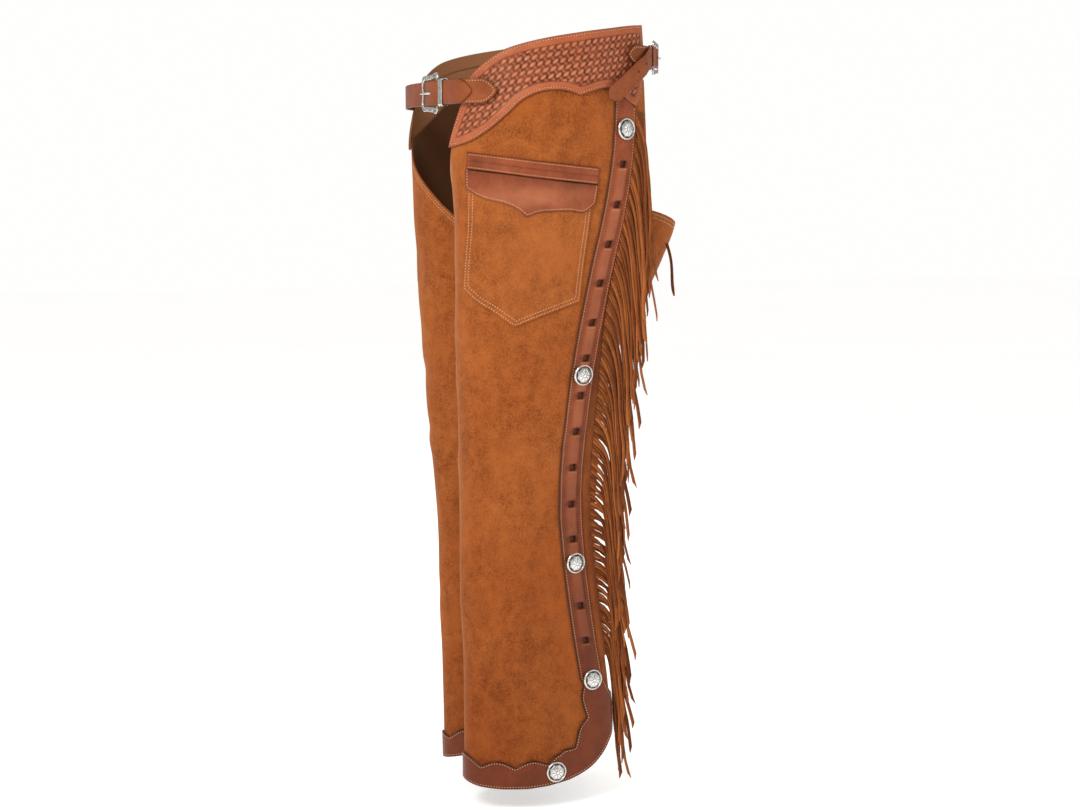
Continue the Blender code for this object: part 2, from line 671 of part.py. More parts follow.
def frame_at(side, s, z):
    """A point on the form and its forward, upward and outward directions."""
    step = 2 * MM
    centre = place(side, s, z, 0.0)
    out = place(side, s, z, 10 * MM) - centre
    out /= np.linalg.norm(out)
    up = place(side, s, z + step, 0.0) - place(side, s, z - step, 0.0)
    up -= out * np.dot(up, out)
    up /= np.linalg.norm(up)
    return centre, np.cross(up, out), up, out


def concho(name, side, s, z, lift):
    """A domed disc turned about its own axis, set on the leather."""
    centre, forward, up, out = frame_at(side, s * MM, z * MM)
    mesh = bpy.data.meshes.new(name)
    work = bmesh.new()
    profile = [work.verts.new((r * MM, 0.0, h * MM)) for r, h in CONCHO_PROFILE]
    profile.append(work.verts.new((0.0, 0.0, 0.0)))
    for a, b in zip(profile, profile[1:]):
        work.edges.new((a, b))
    bmesh.ops.spin(work, geom=work.verts[:] + work.edges[:], axis=(0, 0, 1), cent=(0, 0, 0),
                   angle=2 * math.pi, steps=CONCHO_SIDES)
    bmesh.ops.remove_doubles(work, verts=work.verts, dist=MERGE)
    for v in work.verts:
        x, y, h = v.co
        v.co = centre + forward * x + up * y + out * (h + lift)
    finish_object(name, mesh, work, "silver")


def conchos(tag, side):
    """Four conchos down the strip and one on the hem band."""
    for number, level in enumerate(CONCHO_LEVELS, start=1):
        centre = follow(STRIP_CENTRE, level * MM) / MM
        concho(f"concho_{tag}_{number}", side, centre, level, ON_BAND)
    concho(f"concho_{tag}_{len(CONCHO_LEVELS) + 1}", side, *HEM_CONCHO, ON_HEM_BAND)


def ribbon(name, centres, wide, half_widths, thick, finish):
    """A flat strap along a line of points, with its own half width at each."""
    steps = np.diff(centres, axis=0)
    steps /= np.linalg.norm(steps, axis=1)[:, None]
    along = np.concatenate([steps[:1], steps[1:] + steps[:-1], steps[-1:]])
    along /= np.linalg.norm(along, axis=1)[:, None]
    wide = wide / np.linalg.norm(wide, axis=1)[:, None]
    normal = np.cross(along, wide)
    normal /= np.linalg.norm(normal, axis=1)[:, None]
    spread = wide * np.broadcast_to(half_widths, len(centres))[:, None]
    middle = np.stack([centres - spread, centres + spread], axis=1)
    lift = normal[:, None, :] * thick / 2
    slab(name, middle - lift, middle + lift, finish)


def thigh_tie(tag, side):
    """A thin thong that hangs from the back corner of the leg."""
    s, z = (value * MM for value in TIE_START)
    top, _, _, out = frame_at(side, s, z)
    steps = np.linspace(0, 1, TIE_POINTS)[:, None]
    run, sway = (np.array(way, float)[None, :] * MM for way in (TIE_RUN, TIE_SWAY))
    centres = top + out * TIE_OUT * MM + run * steps + sway * np.sin(steps * math.pi)
    wide = np.tile(np.array(TIE_WIDE, float) * (side, 1, 1), (TIE_POINTS, 1))
    ribbon(f"thigh_tie_{tag}", centres, wide, TIE_HALF * MM, TIE_THICK * MM, "strap")


def smooth_line(points, spacing):
    """Points along a smooth curve through the given ones."""
    points = np.array(points, float)
    steps = np.linalg.norm(np.diff(points, axis=0), axis=1)
    run = np.concatenate([[0], np.cumsum(steps)])
    slopes = np.gradient(points, run, axis=0)
    count = max(2, int(round(run[-1] / spacing)))
    at = np.linspace(0, run[-1], count + 1)
    low = np.clip(np.searchsorted(run, at) - 1, 0, len(run) - 2)
    gap = (run[low + 1] - run[low])[:, None]
    t = (at - run[low])[:, None] / gap
    near = (2 * t ** 3 - 3 * t ** 2 + 1) * points[low] + (t ** 3 - 2 * t ** 2 + t) * gap * slopes[low]
    far = (3 * t ** 2 - 2 * t ** 3) * points[low + 1] + (t ** 3 - t ** 2) * gap * slopes[low + 1]
    return near + far


class Belt:
    """A belt line in plan: places points by distance from the buckle, rise and distance out."""

    def __init__(self, line, buckle_x, height, droop, tip):
        self.line = smooth_line(np.array(line, float) * MM, LINE_STEP * MM)
        steps = np.hypot(*np.diff(self.line, axis=0).T)
        run = np.concatenate([[0], np.cumsum(steps)])
        self.run = run - np.interp(buckle_x * MM, self.line[:, 0], run)
        self.height = height * MM
        self.droop = droop * MM
        self.tip = tip * MM
        self.sign = 1 if self.line[len(run) // 2, 1] > 0 else -1

    def flat(self, a):
        """Plan position at distance a."""
        return np.array([np.interp(a, self.run, self.line[:, k]) for k in (0, 1)])

    def at(self, a, up=0.0, out=0.0, droops=False):
        """A point in millimetre belt coordinates."""
        a, up, out = a * MM, up * MM, (out + BELT_LIFT) * MM
        ahead = self.flat(a + AHEAD * MM) - self.flat(a - AHEAD * MM)
        ahead /= np.linalg.norm(ahead)
        away = self.sign * np.array([-ahead[1], ahead[0]])
        x, y = self.flat(a) + away * out
        fall = 0.0
        if droops:
            start = DROOP_START * MM
            fall = self.droop * max(0.0, (a - start) / (self.tip - start))
        return np.array([x, y, self.height + fall + up])


def up_arrows(count):
    """Upward directions for a belt's ribbons."""
    return np.tile([0.0, 0.0, 1.0], (count, 1))


def box_cutter(name, belt, span, half_up, out_span):
    """A box in belt coordinates, used only to cut."""
    corners = [belt.at(a, up, out) for out in out_span for up in (-half_up, half_up) for a in span]
    faces = [(0, 2, 3, 1), (4, 5, 7, 6), (0, 1, 5, 4), (2, 6, 7, 3), (0, 4, 6, 2), (1, 3, 7, 5)]
    mesh = bpy.data.meshes.new(name)
    mesh.from_pydata([tuple(c) for c in corners], [], faces)
    work = bmesh.new()
    work.from_mesh(mesh)
    bmesh.ops.recalc_face_normals(work, faces=work.faces)
    work.to_mesh(mesh)
    work.free()
    cutter = bpy.data.objects.new(name, mesh)
    cutter.hide_render = True
    cutter.display_type = "WIRE"
    CUTTERS.objects.link(cutter)
    return cutter


def cut(name, cutter):
    """Cut a named piece with a cutter."""
    modifier = PARTS.objects[name].modifiers.new(cutter.name, "BOOLEAN")
    modifier.operation = "DIFFERENCE"
    modifier.solver = "EXACT"
    modifier.object = cutter


def heel_turn(radius, angles):
    """Points round the buckle's heel bar, as distance along and out."""
    return [(BUCKLE_HALF_LONG + radius * math.cos(q), LOOP_CENTRE + radius * math.sin(q))
            for q in np.radians(angles)]


def level_run(start, end, points, out):
    """Evenly spaced points at one distance out."""
    return [(a, out) for a in np.linspace(start, end, points)]


def end_widths(count, half, shape):
    """Half widths along a strap whose last points narrow to its shaped end."""
    halves = np.full(count, half)
    halves[-len(shape):] *= [share for _, share in shape]
    return halves * MM


def chape(belt, name, width, tab_end):
    """The folded strap end that holds the buckle and is sewn on the left yoke as a tab."""
    straight = BUCKLE_HALF_LONG + CHAPE_STRAIGHT
    lower = level_run(tab_end - CHAPE_UNDER_END, straight, CHAPE_POINTS, CHAPE_BOTTOM)
    lower[:2] = [(a, out - CHAPE_DROP) for a, out in lower[:2]]
    upper = level_run(straight, tab_end - TAB_SHAPE[0][0], CHAPE_POINTS, CHAPE_TOP)
    ends = [(tab_end - back, CHAPE_TOP) for back, _ in TAB_SHAPE[1:]]
    rows = lower + heel_turn(LOOP_RADIUS, CHAPE_TURN) + upper + ends
    centres = np.array([belt.at(a, 0, out) for a, out in rows])
    halves = end_widths(len(rows), width / 2, TAB_SHAPE)
    ribbon(f"{name}_chape", centres, up_arrows(len(rows)), halves, CHAPE_THICK * MM, "strap")
    span = (BUCKLE_HALF_LONG - SLOT_HALF_LONG, BUCKLE_HALF_LONG + SLOT_HALF_LONG)
    slot = box_cutter(f"{name}_slot_cutter", belt, span, PRONG_WIDTH / 2 + SLOT_SPARE, SLOT_DEPTH)
    cut(f"{name}_chape", slot)


def billet(belt, name, width, start, tip):
    """The strap from the right yoke, through the buckle, with its free end on the left."""
    before = level_run(start, BILLET_BEFORE, BILLET_BEFORE_POINTS, BILLET_LOW)
    before[:2] = [(a, out - BILLET_DROP) for a, out in before[:2]]
    after = level_run(BILLET_AFTER, tip - TIP_SHAPE[0][0], BILLET_AFTER_POINTS, BILLET_HIGH)
    after += [(tip - back, BILLET_HIGH) for back, _ in TIP_SHAPE[1:]]
    rows = before + list(BILLET_PATH) + after
    lift = BILLET_LIFT if belt.droop else 0.0
    centres = []
    for a, out in rows:
        raised = lift * min(1.0, max(0.0, (a - BILLET_AFTER) / BILLET_LIFT_RUN))
        centres.append(belt.at(a, 0, out + raised, True))
    centres = np.array(centres)
    steps = np.gradient(centres, axis=0)
    plan = np.hypot(steps[:, 0], steps[:, 1])
    tilt = np.stack([-steps[:, 0] * steps[:, 2] / plan, -steps[:, 1] * steps[:, 2] / plan, plan], axis=1)
    halves = end_widths(len(rows), width / 2 - BILLET_SPARE, TIP_SHAPE)
    ribbon(f"{name}_strap", centres, tilt, halves, STRAP_THICK * MM, "strap")
    hole = box_cutter(f"{name}_hole_cutter", belt, HOLE_SPAN, PRONG_WIDTH / 2 + SLOT_SPARE, HOLE_DEPTH)
    cut(f"{name}_strap", hole)


def buckle_frame(belt, name, width):
    """A closed buckle frame, its heel bar low inside the chape and its far bar over the strap."""
    upper = np.array(BUCKLE_OUTLINE, float)
    outline = np.concatenate([upper, upper[-2:0:-1] * (1, -1)])
    inside = (outline * (BUCKLE_HALF_LONG - BUCKLE_BAR / 2, width / 2 + BUCKLE_INSIDE)).T
    outside = (outline * (BUCKLE_HALF_LONG + BUCKLE_BAR / 2, width / 2 + BUCKLE_OUTSIDE)).T
    low, high = [], []
    for run, rise in (inside, outside):
        out = LOOP_CENTRE + BUCKLE_RISE * (1 - run / BUCKLE_HALF_LONG)
        low.append([belt.at(a, up, n - BUCKLE_PLATE / 2) for a, up, n in zip(run, rise, out)])
        high.append([belt.at(a, up, n + BUCKLE_PLATE / 2) for a, up, n in zip(run, rise, out)])
    slab(f"{name}_buckle", np.array(low), np.array(high), "silver", ring=True)


def prong(belt, name):
    """The prong, hooked round the heel bar, up through the strap and over the far bar."""
    rows = heel_turn(HOOK_RADIUS, HOOK_TURN) + list(PRONG_PATH)
    centres = np.array([belt.at(a, 0, out) for a, out in rows])
    ribbon(f"{name}_prong", centres, up_arrows(len(rows)), PRONG_WIDTH / 2 * MM,
           PRONG_THICK * MM, "silver")


def keeper(belt, name, width, at, half_long, finish):
    """A loop round the folded chape and the strap's free end."""
    low, high = KEEPER_INSIDE
    half_up, half_out, middle = width / 2 + KEEPER_SPARE, (high - low) / 2, (low + high) / 2
    corners = [(-half_up, -half_out), (half_up, -half_out), (half_up, half_out), (-half_up, half_out)]
    inner, outer = [], []
    for a in (at - half_long, at + half_long):
        inner.append([belt.at(a, up, middle + out) for up, out in corners])
        outer.append([belt.at(a, up + math.copysign(KEEPER_THICK, up),
                              middle + out + math.copysign(KEEPER_THICK, out)) for up, out in corners])
    slab(f"{name}_keeper", np.array(inner), np.array(outer), finish, ring=True)


def belts():
    """The front and back belts, each fastened."""
    lines = {"front": FRONT_LINE, "back": BACK_LINE}
    for name, buckle_x, height, width, start, tip, tab_end, droop, at, half_long, finish in BELTS:
        belt = Belt(lines[name], buckle_x, height, droop, tip)
        chape(belt, name, width, tab_end)
        billet(belt, name, width, start, tip)
        buckle_frame(belt, name, width)
        prong(belt, name)
        keeper(belt, name, width, at, half_long, finish)


def build():
    """Make every piece."""
    for tag, side in (("left", 1), ("right", -1)):
        leg_panel(tag, side)
        zip_strip(tag, side)
        yoke(tag, side)
        edge_band(tag, side)
        lace(tag, side)
        fringe(tag, side)
        pocket(tag, side)
        conchos(tag, side)
        thigh_tie(tag, side)
    belts()


clear_scene()
PARTS = collection("chaps")
CUTTERS = collection("cutters")
build()
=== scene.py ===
"""Looks of a pair of fringed suede chaps with tooled yokes, laced side strips, pockets and buckled belts.

Row frame: +Z up, the wearer faces -Y and the wearer's left leg is at +X. Tables are in millimetres,
Blender lengths in metres. Every sheet is worked out on one leg form, by arc length round the leg and height.
"""

import math

import bpy
import numpy as np
from mathutils import Matrix, Vector


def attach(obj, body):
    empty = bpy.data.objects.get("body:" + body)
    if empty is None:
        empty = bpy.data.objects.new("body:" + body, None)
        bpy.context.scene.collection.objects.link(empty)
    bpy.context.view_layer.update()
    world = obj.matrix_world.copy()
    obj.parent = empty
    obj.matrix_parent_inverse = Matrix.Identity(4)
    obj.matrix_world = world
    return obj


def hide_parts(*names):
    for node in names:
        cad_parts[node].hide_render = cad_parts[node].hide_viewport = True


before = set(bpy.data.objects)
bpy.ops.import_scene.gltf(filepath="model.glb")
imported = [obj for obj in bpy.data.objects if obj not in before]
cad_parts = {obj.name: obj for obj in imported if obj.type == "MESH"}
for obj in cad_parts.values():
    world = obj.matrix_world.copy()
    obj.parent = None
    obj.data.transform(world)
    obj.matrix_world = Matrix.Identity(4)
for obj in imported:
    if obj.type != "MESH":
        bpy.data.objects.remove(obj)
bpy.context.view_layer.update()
BODY = "root"
MM = 0.001

# Plan position of five landmarks round the left leg, in mm: height, then x and y of the outer, front,
# inner, back and seam one.
SECTIONS = (
    (75, 172, 2, 62, -136, 20, 0, 38, 146, 140, 100),
    (0, 178, 2, 68, -148, 18, 0, 40, 154, 146, 107),
    (-60, 180, 0, 84, -149, 16, 0, 50, 166, 150, 106),
    (-115, 179, -4, 100, -146, 15, 0, 66, 180, 153, 103),
    (-170, 176, -8, 110, -142, 14, 0, 80, 186, 154, 95),
    (-215, 172, -12, 114, -140, 13, 5, 86, 186, 153, 86),
    (-265, 166, -16, 108, -139, 12, 0, 84, 168, 149, 75),
    (-320, 159, -20, 101, -137, 11, -10, 81, 142, 143, 65),
    (-380, 151, -26, 94, -134, 11, -20, 78, 108, 137, 56),
    (-440, 144, -30, 89, -131, 11, -28, 76, 86, 131, 49),
    (-500, 138, -34, 83, -128, 10, -30, 72, 78, 125, 43),
    (-560, 129, -36, 74, -124, 9, -30, 65, 75, 117, 40),
    (-620, 119, -36, 66, -121, 8, -28, 60, 74, 107, 43),
    (-680, 112, -33, 60, -119, 7, -26, 55, 76, 99, 51),
    (-745, 108, -28, 58, -118, 7, -22, 52, 81, 94, 62),
    (-810, 106, -22, 57, -117, 7, -18, 51, 88, 91, 73),
    (-870, 105, -17, 56, -116, 7, -14, 50, 95, 90, 84),
    (-1020, 104, -12, 55, -113, 7, -10, 50, 104, 90, 96),
)
SAMPLES = 28
ROUNDING = 10
LEVEL_STEP = 3 * MM
LEVELS = np.arange(-1040 * MM, 84 * MM, LEVEL_STEP)
ARC_STEPS = 900
ARC_ROUNDING = 14

# Thickness of each layer, and the distance of its inner face from the form.
SUEDE = 1.8 * MM
YOKE_THICK = 2.8 * MM
BAND_THICK = 2.0 * MM
PATCH_THICK = 1.4 * MM
FLAP_THICK = 1.7 * MM
WELT_THICK = 2.2 * MM
ROOT_THICK = 1.3 * MM
LACE_THICK = 2.0 * MM
TAPE_THICK = 1.1 * MM
ON_SUEDE = 2.9 * MM
ON_ROOT = 5.0 * MM
ON_LACE = 5.6 * MM
ON_PATCH = 4.9 * MM
ON_BAND = 8.1 * MM
ON_HEM_BAND = 5.4 * MM
IN_ZIP = -2.4 * MM

# Lines of the leg, arcs in mm forwards from the back outside seam line.
ZIP_LINE = ((60, -20), (-200, -22), (-420, -17), (-900, -13), (-1020, -13))
ZIP_SPAN = (-212, -900)
ZIP_GAP = 6 * MM
TAPE_HALF = 10
TAPE_ROWS = 120
TAPE_COLUMNS = 13
TOOTH_PITCH = 2.7
TOOTH_HALF = 2.1
TOOTH_FULL = (0.5, 1, 0.85, 1, 0.5)
PANEL_TOP = ((-22, -22), (0, -22), (10, -38), (35, -27), (50, -18), (67, -16), (101, -27),
             (136, -20), (160, -24), (179, -34), (197, -52), (220, -72), (243, -88), (262, -95),
             (286, -101), (304, -128), (320, -151), (337, -172), (355, -193), (374, -212), (401, -226),
             (440, -232), (517, -232), (604, -224), (679, -215), (738, -199), (764, -191))
HEM = ((-14, -905), (-8, -930), (1, -949), (14, -975), (36, -994), (69, -1007), (100, -1012.5),
       (130, -1015), (166, -1014.5), (197, -1012), (234, -1004), (290, -990), (345, -977),
       (400, -965), (450, -953), (490, -936), (515, -905))
PANEL_LEVELS = (-60, -1000)
PANEL_CELLS = (16, 28, 26, 26, 8)
PANEL_ROWS = 135
PANEL_LONG = 850
ZIP_CELLS = 4
LAST_TURN = 4.67
EDGE_SEAM_SPAN = (286, 750)
EDGE_SEAMS = (4, 8.5)

# Yoke ribs from the back edge to the front edge; its lower edge has points at two of them.
YOKE = (
    (-20, 52, -4, -38), (-6, 50.5, 9, -60), (14, 48.5, 24, -54), (30, 46.5, 35, -47),
    (50, 43.5, 50, -38), (70, 40.7, 67, -36.7), (88, 38, 86, -41.8), (103, 35.5, 101.4, -47),
    (118, 33, 115, -42), (140, 29, 136.5, -39.8), (163, 24, 160, -44), (182, 19, 179, -54.4),
    (200, 13, 197, -72), (218, 3.5, 219.5, -92), (233, -7.5, 243.5, -107),
    (242, -15, 265, -113), (248, -21, 282, -115),
)
YOKE_POINTS = (1, 7)
YOKE_CELL = 1.45
YOKE_DEEP = 84
STAMP_ROWS = ((-0.156, -0.988, 9.2), (-0.951, -0.309, 9.1))
STAMP_LEAN = (-0.766, 0.643)
STAMP_LEAF = (5.2, 2.2)
STAMP_CROSS = (2.2, 3.4)
CROSS_HIGH = 0.45
STAMP_DEPTH = 1.0
BORDER = 11
SEAM_INSET = 3.4
BORDER_FADE = 1.6
GROOVE_WIDE = 0.75
GROOVE_DEEP = 0.6
CHANNEL_WIDE = 0.8
CHANNEL_DEEP = 0.2
ROUNDED = 1.3
ROUND_DEEP = 0.9
LINING_FOLD = 19
FOLD_WIDE = 1.1
FOLD_DEEP = 0.5

# Laced strip down the outside seam and the hem band that carries it on.
STRIP_CENTRE = ((-30, 31), (-170, 28), (-400, 23), (-600, 22), (-760, 24), (-865, 23.5))
STRIP_HALF = 18
BULGE_HALF = 9.5
WINDOW_HALF = 4.3
WINDOW_LEVELS = (-137, -191, -244, -297, -351, -400, -452, -502, -553, -606, -657, -755, -806)
STRIP_FOOT = -862
STRIP_TOP_RIB = (12, -62, 48, -42)
STRIP_TOP_LEVEL = -95
RAISE_END = (-880, -905)
LACE_SPAN = (-75, -842)
LACE_HALF = 4.6
LACE_ROWS = 260
# Corner of the band: arc and height of its outer edge, then of its inner one.
CORNER = (
    (0, -878, 38, -872), (-6, -893, 36, -881), (-11, -908, 35, -890), (-11, -922, 35, -900),
    (-8, -935, 36, -911), (-4, -948, 38, -922), (3, -960, 40.5, -931), (10, -970.5, 44, -940),
    (20, -981, 49, -949), (31, -990, 56, -957), (43, -996.5, 64, -964), (56, -1002, 72, -969),
)
HEM_RIB_START = 66
HEM_RIB_END = 503
HEM_CLEAR = 0.6
HEM_LEAN = 12
HEM_LEAN_RUN = 60
BAND_WIDTH = 31
SCALLOP_PITCH = 47
SCALLOP_RISE = 9
BAND_STEP = 2.1
BAND_CELLS = (0, 0.4, 1.1, 2.2, 3.2, 4.2, 6.2, 8.5, 11, 12.6)
BAND_SEAM = 3.2
BULGE_RISE = 2.3
BULGE_END = 7
BAND_ROUNDED = 1.4
# Width of the painted shadow along the strip's front edge.
FRONT_SHADOW_WIDE = 2.4
PRESSED_WIDE = 0.8
# Width of the painted shade round each window.
WINDOW_SHADE_WIDE = 1.1
# Width of the painted shade across the strip at each window level.
PUCKER_SHADE_WIDE = 2.6
# Lip under each window: raised, and given a painted highlight.
LIP_OUT = 2.2
LIP_WIDE = 1.2

# Fringe: its root band and the strands' width and lengths.
FRINGE_TOP = -67
FRINGE_END = -835
ROOT_ARCS = (14, -1)
ROOT_RISES = (0.0, 0.4, 0.6)
STRAND_HALF = 2.3
LENGTH_SPREAD = 0.08
# Turns from one strand to the next, which make neighbours differ.
SPREAD_TURN = 2.4
CURL_TURN = 5.1
SWAY_TURN = 2.1
TWIST_TURN = 1.7
WIDTH_TURN = 3.3
TONE_TURN = 4.13

# Tone of the strands: its middle, and how far it swings from one to the next.
STRAND_TONE = (0.3, 0.65)

# How each strand hangs, by root height.
HANG_COLUMNS = ("root_z", "rear_s", "lead", "pitch", "turn", "turn_drop", "drift", "length")
HANG = (
    (-67, -8, 19, 7.0, 5, 34, 0.03, 196), (-200, -11, 21, 6.8, 10, 32, 0.07, 212),
    (-330, -16, 20, 6.4, 18, 26, 0.09, 212), (-450, -17, 8, 5.6, 13, 18, 0.11, 205),
    (-600, -17, 2, 5.2, 11, 11, 0.16, 198), (-760, -17, 2, 5.2, 10, 10, 0.15, 195),
    (-835, -17, 2, 5.2, 8, 10, 0.09, 199),
)
BAND_ROWS = 236
LIE_ON_BAND = 1.0
FRINGE_BACK = (-0.37, 0.93)
LAYER_STEP = 1.8
LAYERS = 10
TURN_STEP = 2.6
TURNS = 8
NEAREST = 0.25
STRAND_RINGS = 15
RING_CROWD = 1.4
ROOT_TURN = 4
SWAY = 2.2
SWAY_LONG = 105
TWIST = 0.55
TIP_CURL = 4
LEADER_EVERY = 7
LEADER_CURL = 13
LEADER_LONG = 1.04
# Painted highlight on one edge of each strand, painted shade on the other.
EDGE_LIGHT_AND_SHADE = (-0.5, -0.5, 0.7, 0.7)
# Painted shade on the root band, showing between the upper strands.
GAP_SHADE = 0.9
TIP_LONG = 9
TIP_CUT = 1.7

# Pocket pieces, ribs from the front to the back: arc and height of each rib's two ends.
WELT = ((248, -121.5, 246, -144), (205, -126.5, 203, -149), (160, -132, 157, -155),
        (112, -137, 110, -160), (64, -142, 62, -164.5))
FLAP = ((246, -144.6, 241, -170), (230, -146.4, 222, -180), (208, -149, 203, -186),
        (188, -151.3, 186, -189.5), (169, -153.6, 168, -197), (154, -155.4, 152.5, -207.5),
        (140, -157, 138, -202), (118, -159.7, 117, -200), (96, -162, 95, -199.5),
        (76, -163.6, 75, -201), (62, -165.2, 61, -190))
FLAP_POINTS = (5,)
# Painted sheen of the flap: arc and height of its middle, and how far it reaches along and up.
FLAP_SHEEN = (150, -181, 62, 15)
FLAP_SHADE = 16
FLAP_CELL = 1.6
FLAP_DEEP = 40
FLAP_SEAM = 3.0
PATCH = ((241, -160, 214, -305), (214, -163, 192, -321), (188, -166, 165, -336),
         (160, -169, 133, -356), (128, -172.5, 108, -345), (96, -176, 78, -333),
         (66, -180, 48, -322))
PATCH_POINTS = (3,)
PATCH_SEAMS = (3.0, 8.0)
PATCH_CELL = 3.6
PATCH_DEEP = 150
PATCH_TONE = -0.16
WELT_CELL = 3.0
WELT_DEEP = 22
WELT_ROW = 1.2
WELT_SEAMS = (0.125, 0.875)

# Conchos: height on the strip, then the one on the hem band by arc and height.
CONCHO_LEVELS = (-90, -423.5, -692, -864)
HEM_CONCHO = (89, -992)
CONCHO_DOME = ((0, 5.2), (4, 5.0), (7, 4.4), (10, 2.9), (11.6, 1.9), (13.3, 1.7), (15, 0.9))
CONCHO_EDGE = 15.0
ROPE_MIDDLE = 13.8
ROPE_HALF = 1.1
ROPE_TURNS = 24
PETALS = 8
CONCHO_SIDES = 96
FLOWER_EDGE = 12.3
RING_AT = 12.1
BOSS_EDGE = 3.0

# Thong at the back corner.
TIE_START = (-91, -245)
TIE_OUT = 3.4
TIE_RUN = (0, 14, -74)
TIE_WIDE = (0.75, 0.62, 0)
TIE_HALF = 2.3
TIE_THICK = 1.4

# Belt lines in plan from the right yoke round to the left yoke.
FRONT_LINE = ((-163, -95), (-156, -107), (-147, -119), (-137, -130), (-116, -144), (-85, -155),
              (-45, -161), (-10, -161.5), (25, -157.5), (65, -150), (105, -143), (138, -132),
              (147, -119), (156, -107), (163, -95), (169, -82))
BACK_LINE = ((-163, 86), (-151, 108), (-135, 123), (-112, 138), (-79, 153), (-40, 163), (0, 166),
             (40, 163), (79, 153), (98, 145), (112, 138), (125, 130), (135, 123), (151, 108),
             (163, 86), (176, 52), (178, 30))
# Name, buckle's x, height, width, strap's start and tip, tab's end, droop, keeper's place, half length and
# finish, and the strap's holes.
BELTS = (
    ("front", 50, -41, 33, -230, 100, 134, 0, 38, 6, "silver", (38,)),
    ("back", 92, 10, 26, -276, 136, 100, -60, 38, 7, "strap", (20.4, 36.8, 53.2, 69.6, 86)),
)
AHEAD = 3
BELT_LIFT = 2.3
DROOP_START = 54
BUCKLE_HALF_LONG = 17
BUCKLE_OUTLINE = ((1, 0), (1, 0.5), (1, 0.92), (0.85, 1.06), (0.3, 1.0), (-0.4, 0.94), (-0.85, 0.92),
                  (-1, 0.78), (-1, 0))
BUCKLE_BAR = 2.6
BUCKLE_PLATE = 2.2
BUCKLE_RISE = 2.5
BUCKLE_INSIDE = 2.5
BUCKLE_OUTSIDE = 9
CHAPE_THICK = 1.4
CHAPE_BOTTOM = 0.7
CHAPE_TOP = 2.5
CHAPE_DROP = 1.5
CHAPE_STRAIGHT = 7
CHAPE_TURN = (-60, -100, -140, -180, -220, -260, -300)
CHAPE_UNDER_END = 14
LOOP_CENTRE = 1.6
LOOP_RADIUS = 2.8
STRAP_THICK = 2.0
BILLET_LOW = 1.4
BILLET_HIGH = 4.8
BILLET_DROP = 0.9
BILLET_SPARE = 0.3
BILLET_BEFORE = -38
BILLET_AFTER = 44
BILLET_LIFT = 2.4
BILLET_LIFT_RUN = 30
# Middle of the strap through the buckle: distance along and out.
BILLET_PATH = ((-20, 2.8), (-10, 4.8), (0, 6.6), (8, 7.4), (20, 7.3), (25, 6.0), (30, 4.9))
HOLE_SPAN = (-2, 8.5)
END_ROUND = {"front": 21, "back": 16}
STRAP_CELL = 1.0
HOLE_CELLS = 2
HOLE_REACH = 5
STRAP_ROUNDED = 1.2
PRESSED_AT = 2.3
PRESSED_THIN = 0.45
SLOT_HALF = 2.3
PRONG_WIDTH = 3.0
PRONG_THICK = 1.6
HOOK_RADIUS = 2.95
HOOK_TURN = (-150, -100, -50, 0, 50, 95)
PRONG_PATH = ((11, 4.5), (6.5, 4.9), (3.5, 6.9), (0, 9.7), (-5, 10.4), (-12, 10.0), (-21, 9.2))
KEEPER_THICK = 1.4
KEEPER_INSIDE = (-0.5, 6.4)
KEEPER_SPARE = 0.7
KEEPER_CORNER = 2.4

# Sewing thread.
STITCH_PITCH = 3.9
STITCH_LONG = 2.4
STITCH_WIDE = 0.62
STITCH_SHARES = (-0.5, -0.32, 0.0, 0.32, 0.5)
STITCH_FULL = (0.35, 0.95, 1.0, 0.95, 0.35)
STITCH_SIDES = 5

# Main creases of the suede: side (0 both), arc, height, half length, turn from upright, half width, push.
CREASES = (
    (0, 120, -470, 120, 58, 15, -2.4), (0, 170, -530, 110, 66, 13, 2.0), (0, 95, -560, 80, 52, 11, -1.9),
    (0, 190, -395, 100, 34, 18, 1.8), (0, 150, -640, 150, 14, 20, -1.8), (0, 210, -700, 170, -6, 22, 2.0),
    (0, 110, -760, 130, 8, 16, 1.6), (0, 250, -600, 180, 5, 19, -2.2), (0, 300, -520, 160, 12, 17, 2.2),
    (0, 340, -640, 190, -8, 20, -2.4), (0, 390, -420, 110, 48, 16, -2.2), (0, 430, -520, 150, 30, 17, 2.1),
    (0, 60, -650, 90, 40, 10, -1.4), (0, 160, -900, 90, 6, 18, -1.6), (0, 275, -860, 140, -4, 18, 2.0),
    (0, 400, -800, 160, 10, 19, -2.0), (0, 520, -330, 100, 62, 15, -2.6), (0, 560, -420, 90, 70, 13, 2.2),
    (0, 235, -260, 110, 20, 20, -1.6), (0, 120, -95, 60, 80, 12, -0.9), (0, 470, -700, 150, -12, 16, 1.8),
    (1, 200, -800, 120, 22, 14, -1.5), (1, 320, -400, 90, 40, 13, -1.9), (1, 130, -850, 70, 60, 12, 1.1),
    (-1, 220, -450, 130, 50, 15, -1.9), (-1, 330, -760, 120, 18, 16, 1.8), (-1, 150, -720, 100, 55, 13, -1.5),
)

# How far a crease bows, in mm for each square mm of its length.
CREASE_BEND = 0.0009

# Camera read from the photograph's perspective, and the lights round the piece.
CAMERA_TURN = math.radians(18)
CAMERA_FAR = 2.8
CAMERA_ASIDE = 0.0143
CAMERA_HEIGHT = -0.165
CAMERA_PITCH = math.radians(6.38)
CAMERA_LENS = 65.17
FLOOR_LEVEL = -1.05
FLOOR_HALF = 14.0
LIGHTS_AIM = (0.05, 0.0, -0.45)
# Name, place and width in metres, and power in watts of each lamp.
LIGHTS = (
    ("key", (2.1, -1.9, 1.5), 1.0, 66),
    ("fill", (1.9, 1.9, 0.6), 1.6, 9),
    ("back", (-2.2, 1.6, 1.4), 1.6, 26),
    ("front", (-0.3, -3.0, 0.4), 1.0, 3),
)
SKY_LIGHT = 0.56
SKY_MIRRORED = 0.42
SKY_SEEN = 1.0
